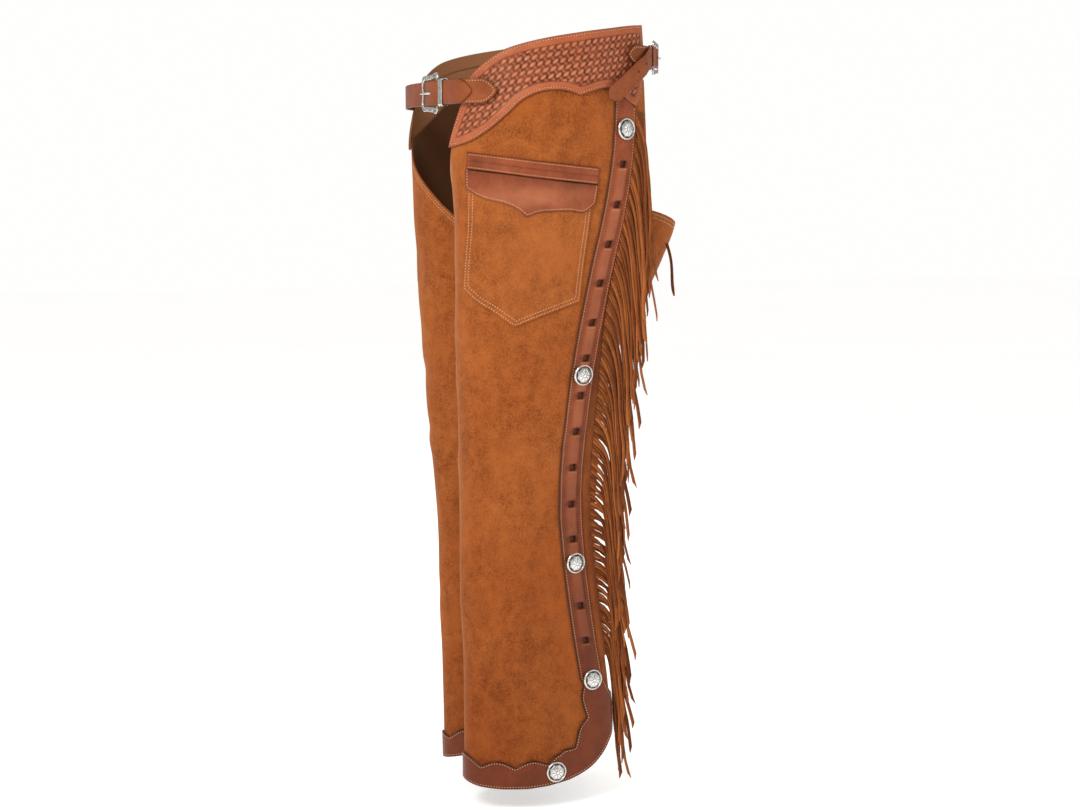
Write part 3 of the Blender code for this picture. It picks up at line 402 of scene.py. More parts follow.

# Suede tones: the two that its clouds run between, then those laid over them. Deep also holds painted shade
# in the fringe gaps and on one edge of each strand, pale a painted highlight on the other edge.
SUEDE_TONES = {
    "dark": (0.175, 0.035, 0.005), "light": (0.345, 0.097, 0.0195), "nap": (0.125, 0.024, 0.0035),
    "patch": (0.43, 0.125, 0.027), "pile": (0.47, 0.142, 0.036), "edge": (0.15, 0.032, 0.007),
    "deep": (0.085, 0.022, 0.009), "pale": (0.55, 0.20, 0.06), "inside": (0.07, 0.025, 0.008),
}
SMUDGE_TINT = (0.72, 0.5, 0.38)
FOOT_TINT = (0.76, 0.68, 0.62)

# Leathers: name, light, dark, deep and painted highlight tones, coat, and the tint at the foot; the deep tone
# also paints shade in hollows.
LEATHERS = (
    ("tooled", (0.45, 0.120, 0.050), (0.35, 0.082, 0.031), (0.065, 0.012, 0.004),
     (0.66, 0.25, 0.13), 0.07, (1.0, 1.0, 1.0)),
    ("band", (0.300, 0.070, 0.026), (0.185, 0.038, 0.013), (0.03, 0.006, 0.003),
     (0.45, 0.155, 0.075), 0.10, (0.52, 0.40, 0.32)),
    ("strap", (0.300, 0.076, 0.0235), (0.195, 0.044, 0.012), (0.06, 0.013, 0.005),
     (0.5, 0.17, 0.08), 0.07, (1.0, 1.0, 1.0)),
)

MATERIALS = {}
STITCHES = {"left": [], "right": []}


def column(table, index):
    """One column of a table, in metres."""
    return np.array([row[index] for row in table], float) * MM


def follow(table, at):
    """Read a two-column table of (where, what), whichever way its rows run."""
    where, what = column(table, 0), column(table, 1)
    order = np.argsort(where)
    return np.interp(at, where[order], what[order])


def unit(rows):
    """Rows scaled to length one."""
    return rows / np.linalg.norm(rows, axis=-1)[..., None]


def running(points):
    """Running length along a line of points."""
    return np.concatenate([[0], np.cumsum(np.linalg.norm(np.diff(points, axis=0), axis=1))])


def read_line(at, run, rows):
    """A line's rows read at running lengths, of any shape."""
    return np.stack([np.interp(at, run, rows[:, k]) for k in range(rows.shape[1])], axis=-1)


def cubic(where, rows, at):
    """Cubic pieces through rows given at rising places, with slopes shared by neighbours."""
    slopes = np.gradient(rows, where, axis=0)
    low = np.clip(np.searchsorted(where, at) - 1, 0, len(where) - 2)
    gap = (where[low + 1] - where[low])[:, None]
    t = np.clip((at - where[low])[:, None] / gap, 0.0, 1.0)
    near = (2 * t ** 3 - 3 * t ** 2 + 1) * rows[low] + (t ** 3 - 2 * t ** 2 + t) * gap * slopes[low]
    far = (3 * t ** 2 - 2 * t ** 3) * rows[low + 1] + (t ** 3 - t ** 2) * gap * slopes[low + 1]
    return near + far


def smooth_line(points, step):
    """Points about a step apart along a smooth curve through the given ones."""
    points = np.array(points, float)
    run = running(points)
    return cubic(run, points, np.linspace(0, run[-1], max(2, int(round(run[-1] / step))) + 1))


def section_lines(z):
    """Closed plan line at each height: quarter waves between the landmarks, rounded by averaging."""
    table = np.array(SECTIONS, float)[::-1] * MM
    row = cubic(table[:, 0], table[:, 1:], z)[:, None, :]
    outer_x, outer_y, front_x, front_y, inner_x, inner_y, back_x, back_y, seam_x, seam_y = (
        row[..., k] for k in range(10))
    t = np.linspace(0.0, 1.0, SAMPLES + 1)[None, :]
    run, rise = np.cos(t * math.pi / 2), np.sin(t * math.pi / 2)
    sides = (
        (outer_x - (outer_x - seam_x) * (1 - t) ** 2, seam_y + (outer_y - seam_y) * t),
        (front_x + (outer_x - front_x) * run, outer_y + (front_y - outer_y) * rise),
        (front_x + (inner_x - front_x) * rise, inner_y + (front_y - inner_y) * run),
        (back_x + (inner_x - back_x) * run, inner_y + (back_y - inner_y) * rise),
        (back_x + (seam_x - back_x) * t, back_y + (seam_y - back_y) * t ** 2),
    )
    x = np.concatenate([part[0][:, :-1] for part in sides], axis=1)
    y = np.concatenate([part[1][:, :-1] for part in sides], axis=1)
    x, y = blur_ring(x, ROUNDING), blur_ring(y, ROUNDING)
    return np.hstack([x, x[:, :1]]), np.hstack([y, y[:, :1]])


def blur_ring(values, passes):
    """Average every value with its two neighbours round the ring."""
    for _ in range(passes):
        values = (np.roll(values, 1, axis=1) + 2 * values + np.roll(values, -1, axis=1)) / 4
    return values


def form_tables():
    """Arc length of every landmark sample, girth, and (x, y, normal) at even arc shares, per height."""
    x, y = section_lines(LEVELS)
    arcs = np.concatenate([np.zeros((len(x), 1)),
                           np.cumsum(np.hypot(np.diff(x, axis=1), np.diff(y, axis=1)), axis=1)], axis=1)
    shares = np.linspace(0, 1, ARC_STEPS, endpoint=False)
    even = [np.stack([np.interp(shares * a[-1], a, line) for a, line in zip(arcs, grid)]) for grid in (x, y)]
    even = [blur_ring(grid, ARC_ROUNDING) for grid in even]
    points = np.stack([*even, np.broadcast_to(LEVELS[:, None], even[0].shape)], axis=2)
    along = np.roll(points, -1, axis=1) - np.roll(points, 1, axis=1)
    normal = unit(np.cross(np.gradient(points, axis=0), along))
    table = np.concatenate([points[..., :2], normal], axis=2)
    return arcs, arcs[:, -1], np.concatenate([table, table[:, :1]], axis=1)


SAMPLE_ARCS, GIRTHS, FORM = form_tables()


def level_rows(z):
    """The table row below a height, and the share of the way to the next."""
    at = np.clip((z - LEVELS[0]) / LEVEL_STEP, 0, len(LEVELS) - 1.001)
    low = at.astype(int)
    return low, at - low


def girth(z):
    """Length round the leg at a height."""
    return np.interp(z, LEVELS, GIRTHS)


def turn_arc(turn, z):
    """Arc length at a fractional landmark number: 1 outer, 2 front, 3 inner, 4 back, 5 seam."""
    turn, z = np.broadcast_arrays(np.asarray(turn, float), np.asarray(z, float))
    at = np.clip(turn * SAMPLES, 0, 5 * SAMPLES - 0.001)
    first = at.astype(int)
    share = at - first
    low, up = level_rows(z)
    below, above = (SAMPLE_ARCS[row, first] * (1 - share) + SAMPLE_ARCS[row, first + 1] * share
                    for row in (low, low + 1))
    return below * (1 - up) + above * up


def creases(side, s, z):
    """Soft troughs and ridges: a bell across each crease that fades as a longer bell along it."""
    push = np.zeros(np.broadcast(s, z).shape)
    for which, arc, height, half_long, turn, half_wide, amount in CREASES:
        if which not in (0, side):
            continue
        ds, dz = s / MM - arc, z / MM - height
        ca, sa = math.cos(math.radians(turn)), math.sin(math.radians(turn))
        across, along = ds * ca + dz * sa, dz * ca - ds * sa
        bend = across + CREASE_BEND * along ** 2
        push += amount * np.exp(-(bend / half_wide) ** 2 - (along / half_long) ** 2)
    return push * MM


def place(side, s, z, out=0.0):
    """Points at arc s and height z, moved out along the form's normal and by the creases."""
    s, z, out = np.broadcast_arrays(np.asarray(s, float), np.asarray(z, float), np.asarray(out, float))
    low, up = level_rows(z)
    read = 0.0
    for row, weight in ((low, 1 - up), (low + 1, up)):
        at = (s / GIRTHS[row]) % 1.0 * ARC_STEPS
        first = np.minimum(at.astype(int), ARC_STEPS - 1)
        share = (at - first)[..., None]
        read = read + (FORM[row, first] * (1 - share) + FORM[row, first + 1] * share) * weight[..., None]
    points = np.concatenate([read[..., :2], z[..., None]], axis=-1)
    points = points + unit(read[..., 2:]) * (out + creases(side, s, z))[..., None]
    return points * (side, 1, 1)


def directions(side, s, z):
    """Unit directions on the sheet: forwards round the leg, up and outwards."""
    step = 1.5 * MM
    forward = unit(place(side, s + step, z) - place(side, s - step, z))
    up = place(side, s, z + step) - place(side, s, z - step)
    out = unit(np.cross(up, forward) * side)
    return forward, unit(np.cross(forward, out) * side), out


def signed_volume(points, faces):
    """Six times the volume that faces enclose, negative where they face inwards."""
    total = 0.0
    for part in faces:
        a, b, c, d = (points[part[:, k]] for k in (0, 1, 2, -1))
        total += np.sum(a * (np.cross(b, c) + np.cross(c, d)))
    return total


def make_object(name, points, faces, finish, marks=None, sharp=38):
    """A shaded object from points and arrays of quads and triangles, its faces outwards."""
    if signed_volume(points, faces) < 0:
        faces = [part[:, ::-1] for part in faces]
    corners = np.concatenate([part.ravel() for part in faces])
    sides = np.concatenate([np.full(len(part), part.shape[1]) for part in faces])
    mesh = bpy.data.meshes.new(name)
    mesh.vertices.add(len(points))
    mesh.vertices.foreach_set("co", points.ravel())
    mesh.loops.add(len(corners))
    mesh.loops.foreach_set("vertex_index", corners)
    mesh.polygons.add(len(sides))
    mesh.polygons.foreach_set("loop_start", np.concatenate([[0], np.cumsum(sides)[:-1]]))
    mesh.update(calc_edges=True)
    mesh.validate()
    for key, values in (marks or {}).items():
        stored = mesh.attributes.new(key, "FLOAT", "POINT")
        stored.data.foreach_set("value", np.asarray(values, float).ravel())
    mesh.polygons.foreach_set("use_smooth", np.ones(len(mesh.polygons), bool))
    mesh.set_sharp_from_angle(angle=math.radians(sharp))
    mesh.materials.append(MATERIALS[finish])
    made = bpy.data.objects.new(name, mesh)
    bpy.context.scene.collection.objects.link(made)
    return made


def grid_faces(rows, columns, keep):
    """Quads of a point grid and the border edges round the quads that are kept."""
    row, col = np.meshgrid(np.arange(rows - 1), np.arange(columns - 1), indexing="ij")
    corner = row * columns + col
    quads = np.stack([corner, corner + 1, corner + columns + 1, corner + columns], axis=2)
    wide = np.pad(keep, 1)
    beside = (wide[:-2, 1:-1], wide[1:-1, 2:], wide[2:, 1:-1], wide[1:-1, :-2])
    rims = [quads[keep & ~there][:, [k, (k + 1) % 4]] for k, there in enumerate(beside)]
    return quads[keep], np.concatenate(rims)


def shell(name, inner, outer, finish, marks=None, keep=None, sharp=38):
    """A closed sheet between two point grids, joined round its border; the inner face is marked."""
    rows, columns = outer.shape[:2]
    keep = np.ones((rows - 1, columns - 1), bool) if keep is None else keep
    quads, rims = grid_faces(rows, columns, keep)
    count = rows * columns
    walls = np.stack([rims[:, 0], rims[:, 1], rims[:, 1] + count, rims[:, 0] + count], axis=1)
    faces = np.concatenate([quads[:, ::-1], quads + count, walls])
    points = np.concatenate([inner.reshape(-1, 3), outer.reshape(-1, 3)])
    stored = {"inside": np.repeat((1.0, 0.0), count)}
    for key, values in (marks or {}).items():
        flat = np.broadcast_to(values, (rows, columns)).ravel()
        stored[key] = np.concatenate([flat, flat])
    used = np.unique(faces)
    renumber = np.zeros(2 * count, int)
    renumber[used] = np.arange(len(used))
    stored = {key: values[used] for key, values in stored.items()}
    return make_object(name, points[used], [renumber[faces]], finish, stored, sharp)


def laid(name, side, s, z, low, high, finish, marks=None, keep=None, sharp=38):
    """A closed sheet on the leg at arcs and heights, its faces at two lifts above the form."""
    return shell(name, place(side, s, z, low), place(side, s, z, high), finish, marks, keep, sharp)


def swept(name, rings, finish, marks=None, closed=False, sharp=38):
    """Tubes in one mesh: each ring of points joined to the next, the ends closed to their middles.

    Rings are an array of pieces, rings, sides and three coordinates."""
    rings = np.asarray(rings)
    pieces, count, sides = rings.shape[:3]
    ring, k = np.meshgrid(np.arange(count if closed else count - 1), np.arange(sides), indexing="ij")
    after, beside = (ring + 1) % count, (k + 1) % sides
    quads = np.stack([ring * sides + k, ring * sides + beside, after * sides + beside, after * sides + k],
                     axis=2).reshape(-1, 4)
    points = rings.reshape(pieces, -1, 3)
    parts = [quads]
    if not closed:
        poles = np.stack([rings[:, 0].mean(axis=1), rings[:, -1].mean(axis=1)], axis=1)
        points = np.concatenate([points, poles], axis=1)
        k, beside = k[0], beside[0]
        last = (count - 1) * sides
        parts.append(np.stack([beside, k, np.full(sides, count * sides)], axis=1))
        parts.append(np.stack([last + k, last + beside, np.full(sides, count * sides + 1)], axis=1))
    first = (np.arange(pieces) * points.shape[1])[:, None, None]
    faces = [(part[None] + first).reshape(-1, part.shape[1]) for part in parts]
    stored = {}
    for key, values in (marks or {}).items():
        values = np.broadcast_to(values, rings.shape[:3]).reshape(pieces, -1)
        ends = [] if closed else [values[:, :1], values[:, -1:]]
        stored[key] = np.concatenate([values, *ends], axis=1)
    return make_object(name, points.reshape(-1, 3), faces, finish, stored, sharp)


def settle(piece, nodes):
    """Ride on the body and stand for CAD nodes."""
    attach(piece, BODY)
    if nodes:
        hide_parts(*nodes)
    return piece


def edge_share(distance, width):
    """1 at an edge, falling smoothly to 0 at a width from it."""
    t = np.clip(1 - distance / width, 0, 1)
    return t * t * (3 - 2 * t)


def bell(offset, width):
    """1 where the offset is nothing, falling away over a width."""
    return np.exp(-(offset / width) ** 2)


def line_distance(s, z, line, closed=True):
    """Distance from every (s, z) to a line of points, in the line's unit."""
    starts, ends = (line, np.roll(line, -1, axis=0)) if closed else (line[:-1], line[1:])
    best = np.full(np.shape(s), 1e9)
    for (ax, ay), (bx, by) in zip(starts, ends):
        dx, dy = bx - ax, by - ay
        size = dx * dx + dy * dy
        if size > 0:
            t = np.clip(((s - ax) * dx + (z - ay) * dy) / size, 0, 1)
            best = np.minimum(best, np.hypot(s - ax - t * dx, z - ay - t * dy))
    return best


def inset_line(line, inset, closed=False):
    """A line moved to its left by an inset; points that come too near it at its corners are left out."""
    line = np.asarray(line, float)
    ahead = np.roll(line, -1, axis=0) - np.roll(line, 1, axis=0) if closed else np.gradient(line, axis=0)
    left = unit(np.stack([-ahead[:, 1], ahead[:, 0]], axis=1))
    moved = line + left * inset
    near = line_distance(moved[:, 0], moved[:, 1], line, closed)
    return moved[near > abs(inset) * 0.97]


def smooth_ribs(table, step, corners=()):
    """Ribs a step apart along smooth curves that break at the corner rows, closer by both ends."""
    table = np.array(table, float)
    ends = [0, *corners, len(table) - 1]
    parts = []
    for first, last in zip(ends, ends[1:]):
        rows = table[first:last + 1]
        run = running(rows) / math.sqrt(2)
        count = max(2, int(round(run[-1] / step)))
        parts.append(cubic(run, rows, np.linspace(0, run[-1], count + 1))[:-1])
    ribs = np.concatenate([*parts, table[-1:]])
    near = np.array((0.3, 0.7))[:, None]
    return np.concatenate([ribs[:1], ribs[0] + (ribs[1] - ribs[0]) * near, ribs[1:-1],
                           ribs[-1] + (ribs[-2] - ribs[-1]) * near[::-1], ribs[-1:]])


def rim_shares(length, cell):
    """Shares along a length in mm: closer by both ends, then about one cell apart."""
    near = np.array((0.0, 0.35, 0.9))
    count = max(2, int(round((length - 3.6) / cell)))
    return np.concatenate([near, np.linspace(1.8, length - 1.8, count + 1), length - near[::-1]]) / length


def spread_ribs(ribs, shares):
    """Grids of arc and height in mm from ribs, at shares down each rib."""
    t = shares[:, None]
    return tuple(ribs[None, :, k] * (1 - t) + ribs[None, :, k + 2] * t for k in (0, 1))


def border_of(s, z):
    """The border of a grid as one closed line, in the order that the grid runs."""
    points = np.stack([s, z], axis=-1)
    return np.concatenate([points[0, :-1], points[:-1, -1], points[-1, :0:-1], points[:0:-1, 0]])


def open_border(s, z):
    """The first side, the foot and the last side of a grid, as one line."""
    points = np.stack([s, z], axis=-1)
    return np.concatenate([points[:, 0], points[-1, 1:], points[-2::-1, -1]])


def stitch_rings(centres, ahead, out):
    """A short rounded thread at each place, its ends dipping into the leather."""
    aside = unit(np.cross(out, ahead))
    turn = (np.arange(STITCH_SIDES) * 2 * math.pi / STITCH_SIDES)[None, None, :, None]
    shares = np.array(STITCH_SHARES)[None, :, None, None]
    full = np.array(STITCH_FULL)[None, :, None, None] * STITCH_WIDE * MM
    rise = np.sin(turn) * full * 0.75 - 0.75 * STITCH_WIDE * MM * (2 * shares) ** 4
    return (centres[:, None, None] + ahead[:, None, None] * shares * STITCH_LONG * MM
            + aside[:, None, None] * np.cos(turn) * full + out[:, None, None] * rise)


def sew(tag, points, out):
    """Stitches a pitch apart along a line of points, kept until all of a side's are made one piece."""
    run = running(points)
    count = max(1, int(round(run[-1] / (STITCH_PITCH * MM))))
    at = (np.arange(count) + 0.5) * run[-1] / count
    reach = STITCH_LONG * MM / 2
    ahead = unit(read_line(at + reach, run, points) - read_line(at - reach, run, points))
    STITCHES[tag].append(stitch_rings(read_line(at, run, points), ahead, unit(read_line(at, run, out))))


def sew_sheet(tag, side, line, lift):
    """Stitches along a line of arcs and heights in mm, at a lift above the form in mm."""
    run = running(line)
    s, z = read_line(np.linspace(0, run[-1], 2 * len(line)), run, line).T * MM
    sew(tag, place(side, s, z, lift * MM), directions(side, s, z)[2])


def leg_grid():
    """Arc and height grids of a leg: columns keep to landmark numbers, rows run evenly to the hem."""
    turns = np.concatenate([np.linspace(k, k + 1, cells, endpoint=False)
                            for k, cells in enumerate(PANEL_CELLS)])
    turns = turns[turns < LAST_TURN]
    share = np.linspace(0, 1, ZIP_CELLS, endpoint=False)[:, None]

    def columns_at(z):
        """Arc of every column, for heights given per column."""
        start = follow(ZIP_LINE, z[:ZIP_CELLS]) + ZIP_GAP / 2
        middle = turn_arc(turns[:, None], z[ZIP_CELLS:-ZIP_CELLS])
        tail = z[-ZIP_CELLS:]
        end = follow(ZIP_LINE, tail) + girth(tail) - ZIP_GAP / 2
        last = turn_arc(LAST_TURN, tail)
        return np.concatenate([start * (1 - share), middle, last + (end - last) * (share + 1 / ZIP_CELLS)])

    count = len(turns) + 2 * ZIP_CELLS
    top, hem = (follow(table, columns_at(np.full((count, 1), level * MM))[:, 0])
                for table, level in zip((PANEL_TOP, HEM), PANEL_LEVELS))
    down = rim_shares(PANEL_LONG, PANEL_LONG / PANEL_ROWS)[None, :]
    z = top[:, None] * (1 - down) + hem[:, None] * down
    return columns_at(z).T, z.T


def sheet_area(s, z):
    """Area of a grid of arcs and heights, laid out flat."""
    points = np.stack([s, z], axis=-1)
    a, b = points[1:, :-1] - points[:-1, :-1], points[:-1, 1:] - points[:-1, :-1]
    return float(np.abs(a[..., 0] * b[..., 1] - a[..., 1] * b[..., 0]).sum())


def leg_panel(tag, side):
    """Suede leg: one sheet from the zip line round the leg to the zip line again."""
    s, z = leg_grid()
    edge = np.minimum(np.abs(z - z[:1]), np.abs(z - z[-1:])) / MM
    lift = SUEDE * (1 - 0.3 * edge_share(edge, 1.2))
    piece = laid(f"leg_{tag}", side, s, z, 0.0, lift, "suede", {"edge": edge_share(edge, 6.0)})
    line = np.stack([s[0], z[0]], axis=1) / MM
    line = smooth_line(line[(line[:, 0] > EDGE_SEAM_SPAN[0]) & (line[:, 0] < EDGE_SEAM_SPAN[1])], 3)
    for inset in EDGE_SEAMS:
        sew_sheet(tag, side, inset_line(line, -inset), SUEDE / MM)
    return settle(piece, [f"leg_panel_{tag}"])


def weave(s, z):
    """Basket stamps: rounded leaves on a slanting lattice, with lower crossing ones between them."""
    (row_s, row_z, row_pitch), (tilt_s, tilt_z, tilt_pitch) = STAMP_ROWS
    lean_s, lean_z = STAMP_LEAN
    turn = row_s * tilt_z - row_z * tilt_s
    row = (row_s * s + row_z * z) / row_pitch
    tilt = (tilt_s * s + tilt_z * z) / tilt_pitch
    row, tilt = row - np.round(row), tilt - np.round(tilt)
    whole, half = (-1, 0, 1), (-0.5, 0.5)
    leaves = [(down, beside, *STAMP_LEAF, 1.0) for down in whole for beside in whole]
    crosses = [(down, beside, *STAMP_CROSS, CROSS_HIGH) for down in half for beside in half]
    height = np.zeros(np.shape(s))
    for down, beside, half_long, half_wide, high in leaves + crosses:
        a, b = (row - down) * row_pitch, (tilt - beside) * tilt_pitch
        ds, dz = (a * tilt_z - b * row_z) / turn, (b * row_s - a * tilt_s) / turn
        along = (ds * lean_s + dz * lean_z) / half_long
        across = (dz * lean_s - ds * lean_z) / half_wide
        height = np.maximum(height, high * np.sqrt(np.clip(1 - along ** 2 - across ** 2, 0, 1)))
    return height


def yoke(tag, side):
    """Tooled yoke: a smooth border inside its outline, a groove, then basket stamps over the middle."""
    s, z = spread_ribs(smooth_ribs(YOKE, YOKE_CELL, YOKE_POINTS), rim_shares(YOKE_DEEP, YOKE_CELL))
    outline = border_of(s, z)[::2]
    edge = line_distance(s, z, outline)
    stamps = weave(s, z)
    field = 1 - edge_share(edge - BORDER, BORDER_FADE)
    groove = bell(edge - BORDER, GROOVE_WIDE)
    channel = bell(edge - SEAM_INSET, CHANNEL_WIDE)
    round_off = edge_share(edge, ROUNDED)
    cut = (STAMP_DEPTH * (1 - stamps) * field + GROOVE_DEEP * groove + CHANNEL_DEEP * channel
           + ROUND_DEEP * round_off ** 2)
    # hollow: painted shade in the gaps between the stamps, with the darker groove and seam channel.
    hollow = np.clip((1.15 - 1.3 * stamps) * field + 0.9 * groove + 0.6 * channel, 0, 1)
    top_line = np.stack([s[0], z[0]], axis=1)[::2]
    fold = bell(line_distance(s, z, top_line, False) - LINING_FOLD, FOLD_WIDE)
    # painted_highlight: a painted highlight on the stamp crowns; rim: the dark cut edge.
    marks = {"hollow": hollow, "rim": round_off, "fold": fold, "painted_highlight": 0.65 * stamps * field}
    piece = laid(f"tooled_yoke_{tag}", side, s * MM, z * MM, ON_SUEDE + FOLD_DEEP * MM * fold,
                 ON_SUEDE + YOKE_THICK - cut * MM, "tooled", marks, sharp=70)
    seam = inset_line(outline, -SEAM_INSET, True)
    sew_sheet(tag, side, np.concatenate([seam, seam[:1]]), (ON_SUEDE + YOKE_THICK) / MM - 0.1)
    settle(piece, [f"yoke_{tag}"])
    return piece


def band_ribs():
    """Ribs of the strip and the scalloped hem band, from the yoke down and round to the front, and the first
    rib that is on the hem."""
    levels = [STRIP_TOP_LEVEL]
    for level in WINDOW_LEVELS:
        levels += [level + WINDOW_HALF, level - WINDOW_HALF]
    levels.append(STRIP_FOOT)
    fine = [np.linspace(high, low, int(math.ceil((high - low) / BAND_STEP)), endpoint=False)
            for high, low in zip(levels, levels[1:])]
    heights = np.concatenate([*fine, [STRIP_FOOT]])
    centre = follow(STRIP_CENTRE, heights * MM) / MM
    strip = np.stack([centre - STRIP_HALF, heights, centre + STRIP_HALF, heights], axis=1)
    lead = smooth_ribs([STRIP_TOP_RIB, strip[0]], BAND_STEP)[:-1]
    arcs = np.arange(HEM_RIB_START, HEM_RIB_END + 0.1, BAND_STEP)
    edge = follow(HEM, arcs * MM) / MM + HEM_CLEAR
    lean = HEM_LEAN * np.clip(1 - (arcs - HEM_RIB_START) / HEM_LEAN_RUN, 0, None)
    hem = np.stack([arcs, edge, arcs + lean, edge + BAND_WIDTH], axis=1)
    corner = smooth_ribs([strip[-1], *CORNER, hem[0]], BAND_STEP)[3:-3]
    ribs = np.concatenate([lead, strip, corner, hem])
    first = len(lead) + len(strip)
    inner = ribs[first:, 2:]
    inward = unit(inner - ribs[first:, :2])
    run = running(inner)
    begins = run[np.argmin(np.abs(inner[:, 1] - CORNER[0][3]))]
    bumps = np.abs(np.sin(math.pi * np.clip(run - begins, 0, None) / SCALLOP_PITCH))
    ribs[first:, 2:] += inward * (SCALLOP_RISE * bumps)[:, None]
    return ribs, len(ribs) - len(hem)


def band_base(u, middle, hem_start):
    """Lift of the band's bed: over root band, lace and leg down the strip, and on the leg along the hem."""
    raised = np.clip((middle - RAISE_END[1]) / (RAISE_END[0] - RAISE_END[1]), 0, 1)
    raised[hem_start:] = 0.0
    lifts = np.interp(u, (-STRIP_HALF, -BULGE_HALF, -WINDOW_HALF, WINDOW_HALF, BULGE_HALF, STRIP_HALF),
                      (ON_ROOT, ON_ROOT, ON_LACE, ON_LACE, ON_SUEDE, ON_SUEDE))
    return ON_SUEDE + (lifts[None, :] - ON_SUEDE) * raised[:, None]


def above_window(middle):
    """How far each rib lies above the middle of the window nearest to it, in mm."""
    offset = middle[:, None] - np.array(WINDOW_LEVELS)[None, :]
    return np.take_along_axis(offset, np.argmin(np.abs(offset), axis=1)[:, None], axis=1)[:, 0]


def solid_cells(u, middle):
    """The cells of the band that lie in none of the windows."""
    keep = np.ones((len(middle) - 1, len(u) - 1), bool)
    cell_z, cell_u = (middle[1:] + middle[:-1]) / 2, (u[1:] + u[:-1]) / 2
    for level in WINDOW_LEVELS:
        keep &= ~((np.abs(cell_z - level) < WINDOW_HALF)[:, None] & (np.abs(cell_u) < WINDOW_HALF)[None, :])
    return keep


def band_relief(ribs, hem_start):
    """Faces of the strip and hem band: swells between the windows, pressed lines, raised lips and rims, with
    painted highlights on lips and swells and painted shade round the windows, at the swells' feet, at the
    window levels and along the front edge.

    Gives arcs and heights in mm, the lifts of the bed and of both faces, the marks and the cells kept."""
    width = np.linalg.norm(ribs[:, 2:] - ribs[:, :2], axis=1)
    rear = np.array([*BAND_CELLS, STRIP_HALF - WINDOW_HALF]) - STRIP_HALF
    u = np.concatenate([rear, np.linspace(-WINDOW_HALF, WINDOW_HALF, 6)[1:-1], -rear[::-1]])
    share = (u + STRIP_HALF) / (2 * STRIP_HALF)
    points = ribs[:, None, :2] * (1 - share[None, :, None]) + ribs[:, None, 2:] * share[None, :, None]
    s, z = points[..., 0], points[..., 1]
    middle = z.mean(axis=1)
    base = band_base(u, middle, hem_start)
    nearest = above_window(middle)
    gap = np.clip((np.abs(nearest) - WINDOW_HALF) / BULGE_END, 0, 1)
    on_strip = np.arange(len(ribs)) < hem_start
    between = (middle < WINDOW_LEVELS[0]) & (middle > WINDOW_LEVELS[-1]) & on_strip
    padded = ((middle < WINDOW_LEVELS[0] + 2 * WINDOW_HALF)
              & (middle > WINDOW_LEVELS[-1] - 2 * WINDOW_HALF) & on_strip)[:, None]
    swell = (np.sqrt(gap * (2 - gap)) * between)[:, None]
    bulge = swell * np.clip(1 - (np.abs(u) / (BULGE_HALF + 0.6)) ** 3, 0, 1)[None, :]
    edge = (STRIP_HALF - np.abs(u))[None, :] * (width / (2 * STRIP_HALF))[:, None]
    round_off = edge_share(edge, BAND_ROUNDED)
    # A painted shadow along the strip's front edge.
    front = edge_share((STRIP_HALF - u)[None, :] + 0 * edge, FRONT_SHADOW_WIDE)
    pressed = bell(edge - BAND_SEAM, PRESSED_WIDE)
    # Painted shade along the foot of each swell, with a slight dip.
    rim = bell(np.abs(u) - BULGE_HALF - PRESSED_WIDE, PRESSED_WIDE)[None, :] * swell
    # Painted shade round each window, which makes the dark slot look larger.
    beside = np.maximum((np.abs(u) - WINDOW_HALF)[None, :], np.abs(nearest)[:, None] - WINDOW_HALF)
    window_shade = bell(np.clip(beside, 0, None), WINDOW_SHADE_WIDE) * padded
    # Painted shade across the strip at each window level, where it dips between the swells.
    pucker_shade = bell(nearest, PUCKER_SHADE_WIDE)[:, None] * (np.abs(u) < BULGE_HALF + 2)[None, :] * padded
    narrow = (np.abs(u) < WINDOW_HALF + 2)[None, :]
    # A raised lip under each window, with a painted highlight.
    lip = narrow * (bell(nearest + WINDOW_HALF + LIP_OUT, LIP_WIDE) * on_strip)[:, None]
    out = base + BULGE_RISE * MM * bulge
    top = out + BAND_THICK + MM * (0.35 * lip - 0.8 * round_off ** 2 - 0.15 * pressed - 0.25 * rim)
    # rim: dark cut edges, with the painted shadow at the front and round the windows; hollow: painted shade
    # at the swells' feet and window levels, with the pressed lines; painted_highlight: a painted highlight on
    # lips and swells.
    marks = {"rim": np.maximum(np.maximum(0.8 * round_off, 1.2 * front), window_shade),
             "hollow": np.clip(0.5 * (rim + pressed + pucker_shade), 0, 1), "painted_highlight": lip + 0.55 * bulge}
    return s, z, base, out, top, marks, solid_cells(u, middle)


def edge_band(tag, side):
    """Strip and scalloped hem band: padded between cut-through windows, sewn along both edges."""
    ribs, hem_start = band_ribs()
    s, z, base, out, top, marks, keep = band_relief(ribs, hem_start)
    piece = laid(f"edge_band_{tag}", side, s * MM, z * MM, out, top, "band", marks, keep, sharp=60)
    for line, way, lift in ((ribs[:, :2], 1, base[:, 0]), (ribs[:, 2:], -1, base[:, -1])):
        seam = inset_line(line, way * BAND_SEAM)
        run = running(seam)
        lift = np.interp(run / run[-1], running(line) / running(line)[-1], lift) + BAND_THICK - 0.1 * MM
        s, z = seam.T * MM
        sew(tag, place(side, s, z, lift), directions(side, s, z)[2])
    return settle(piece, [f"edge_band_{tag}"])


def lace(tag, side):
    """The flat lace that runs under the strip and shows in its windows, its edges rounded."""
    z = np.linspace(*LACE_SPAN, LACE_ROWS)[:, None] * MM
    u = np.array((-1, -0.9, -0.6, 0, 0.6, 0.9, 1)) * LACE_HALF
    s = follow(STRIP_CENTRE, z) + u[None, :] * MM
    top = LACE_THICK * (1 - 0.35 * np.abs(u / LACE_HALF) ** 4)
    # The whole lace is darkened as hollow: painted shade, since it shows only recessed in the windows.
    piece = laid(f"lace_{tag}", side, s, z, ON_SUEDE, ON_SUEDE + top[None, :], "band", {"hollow": 0.8})
    return settle(piece, [f"lace_{tag}"])


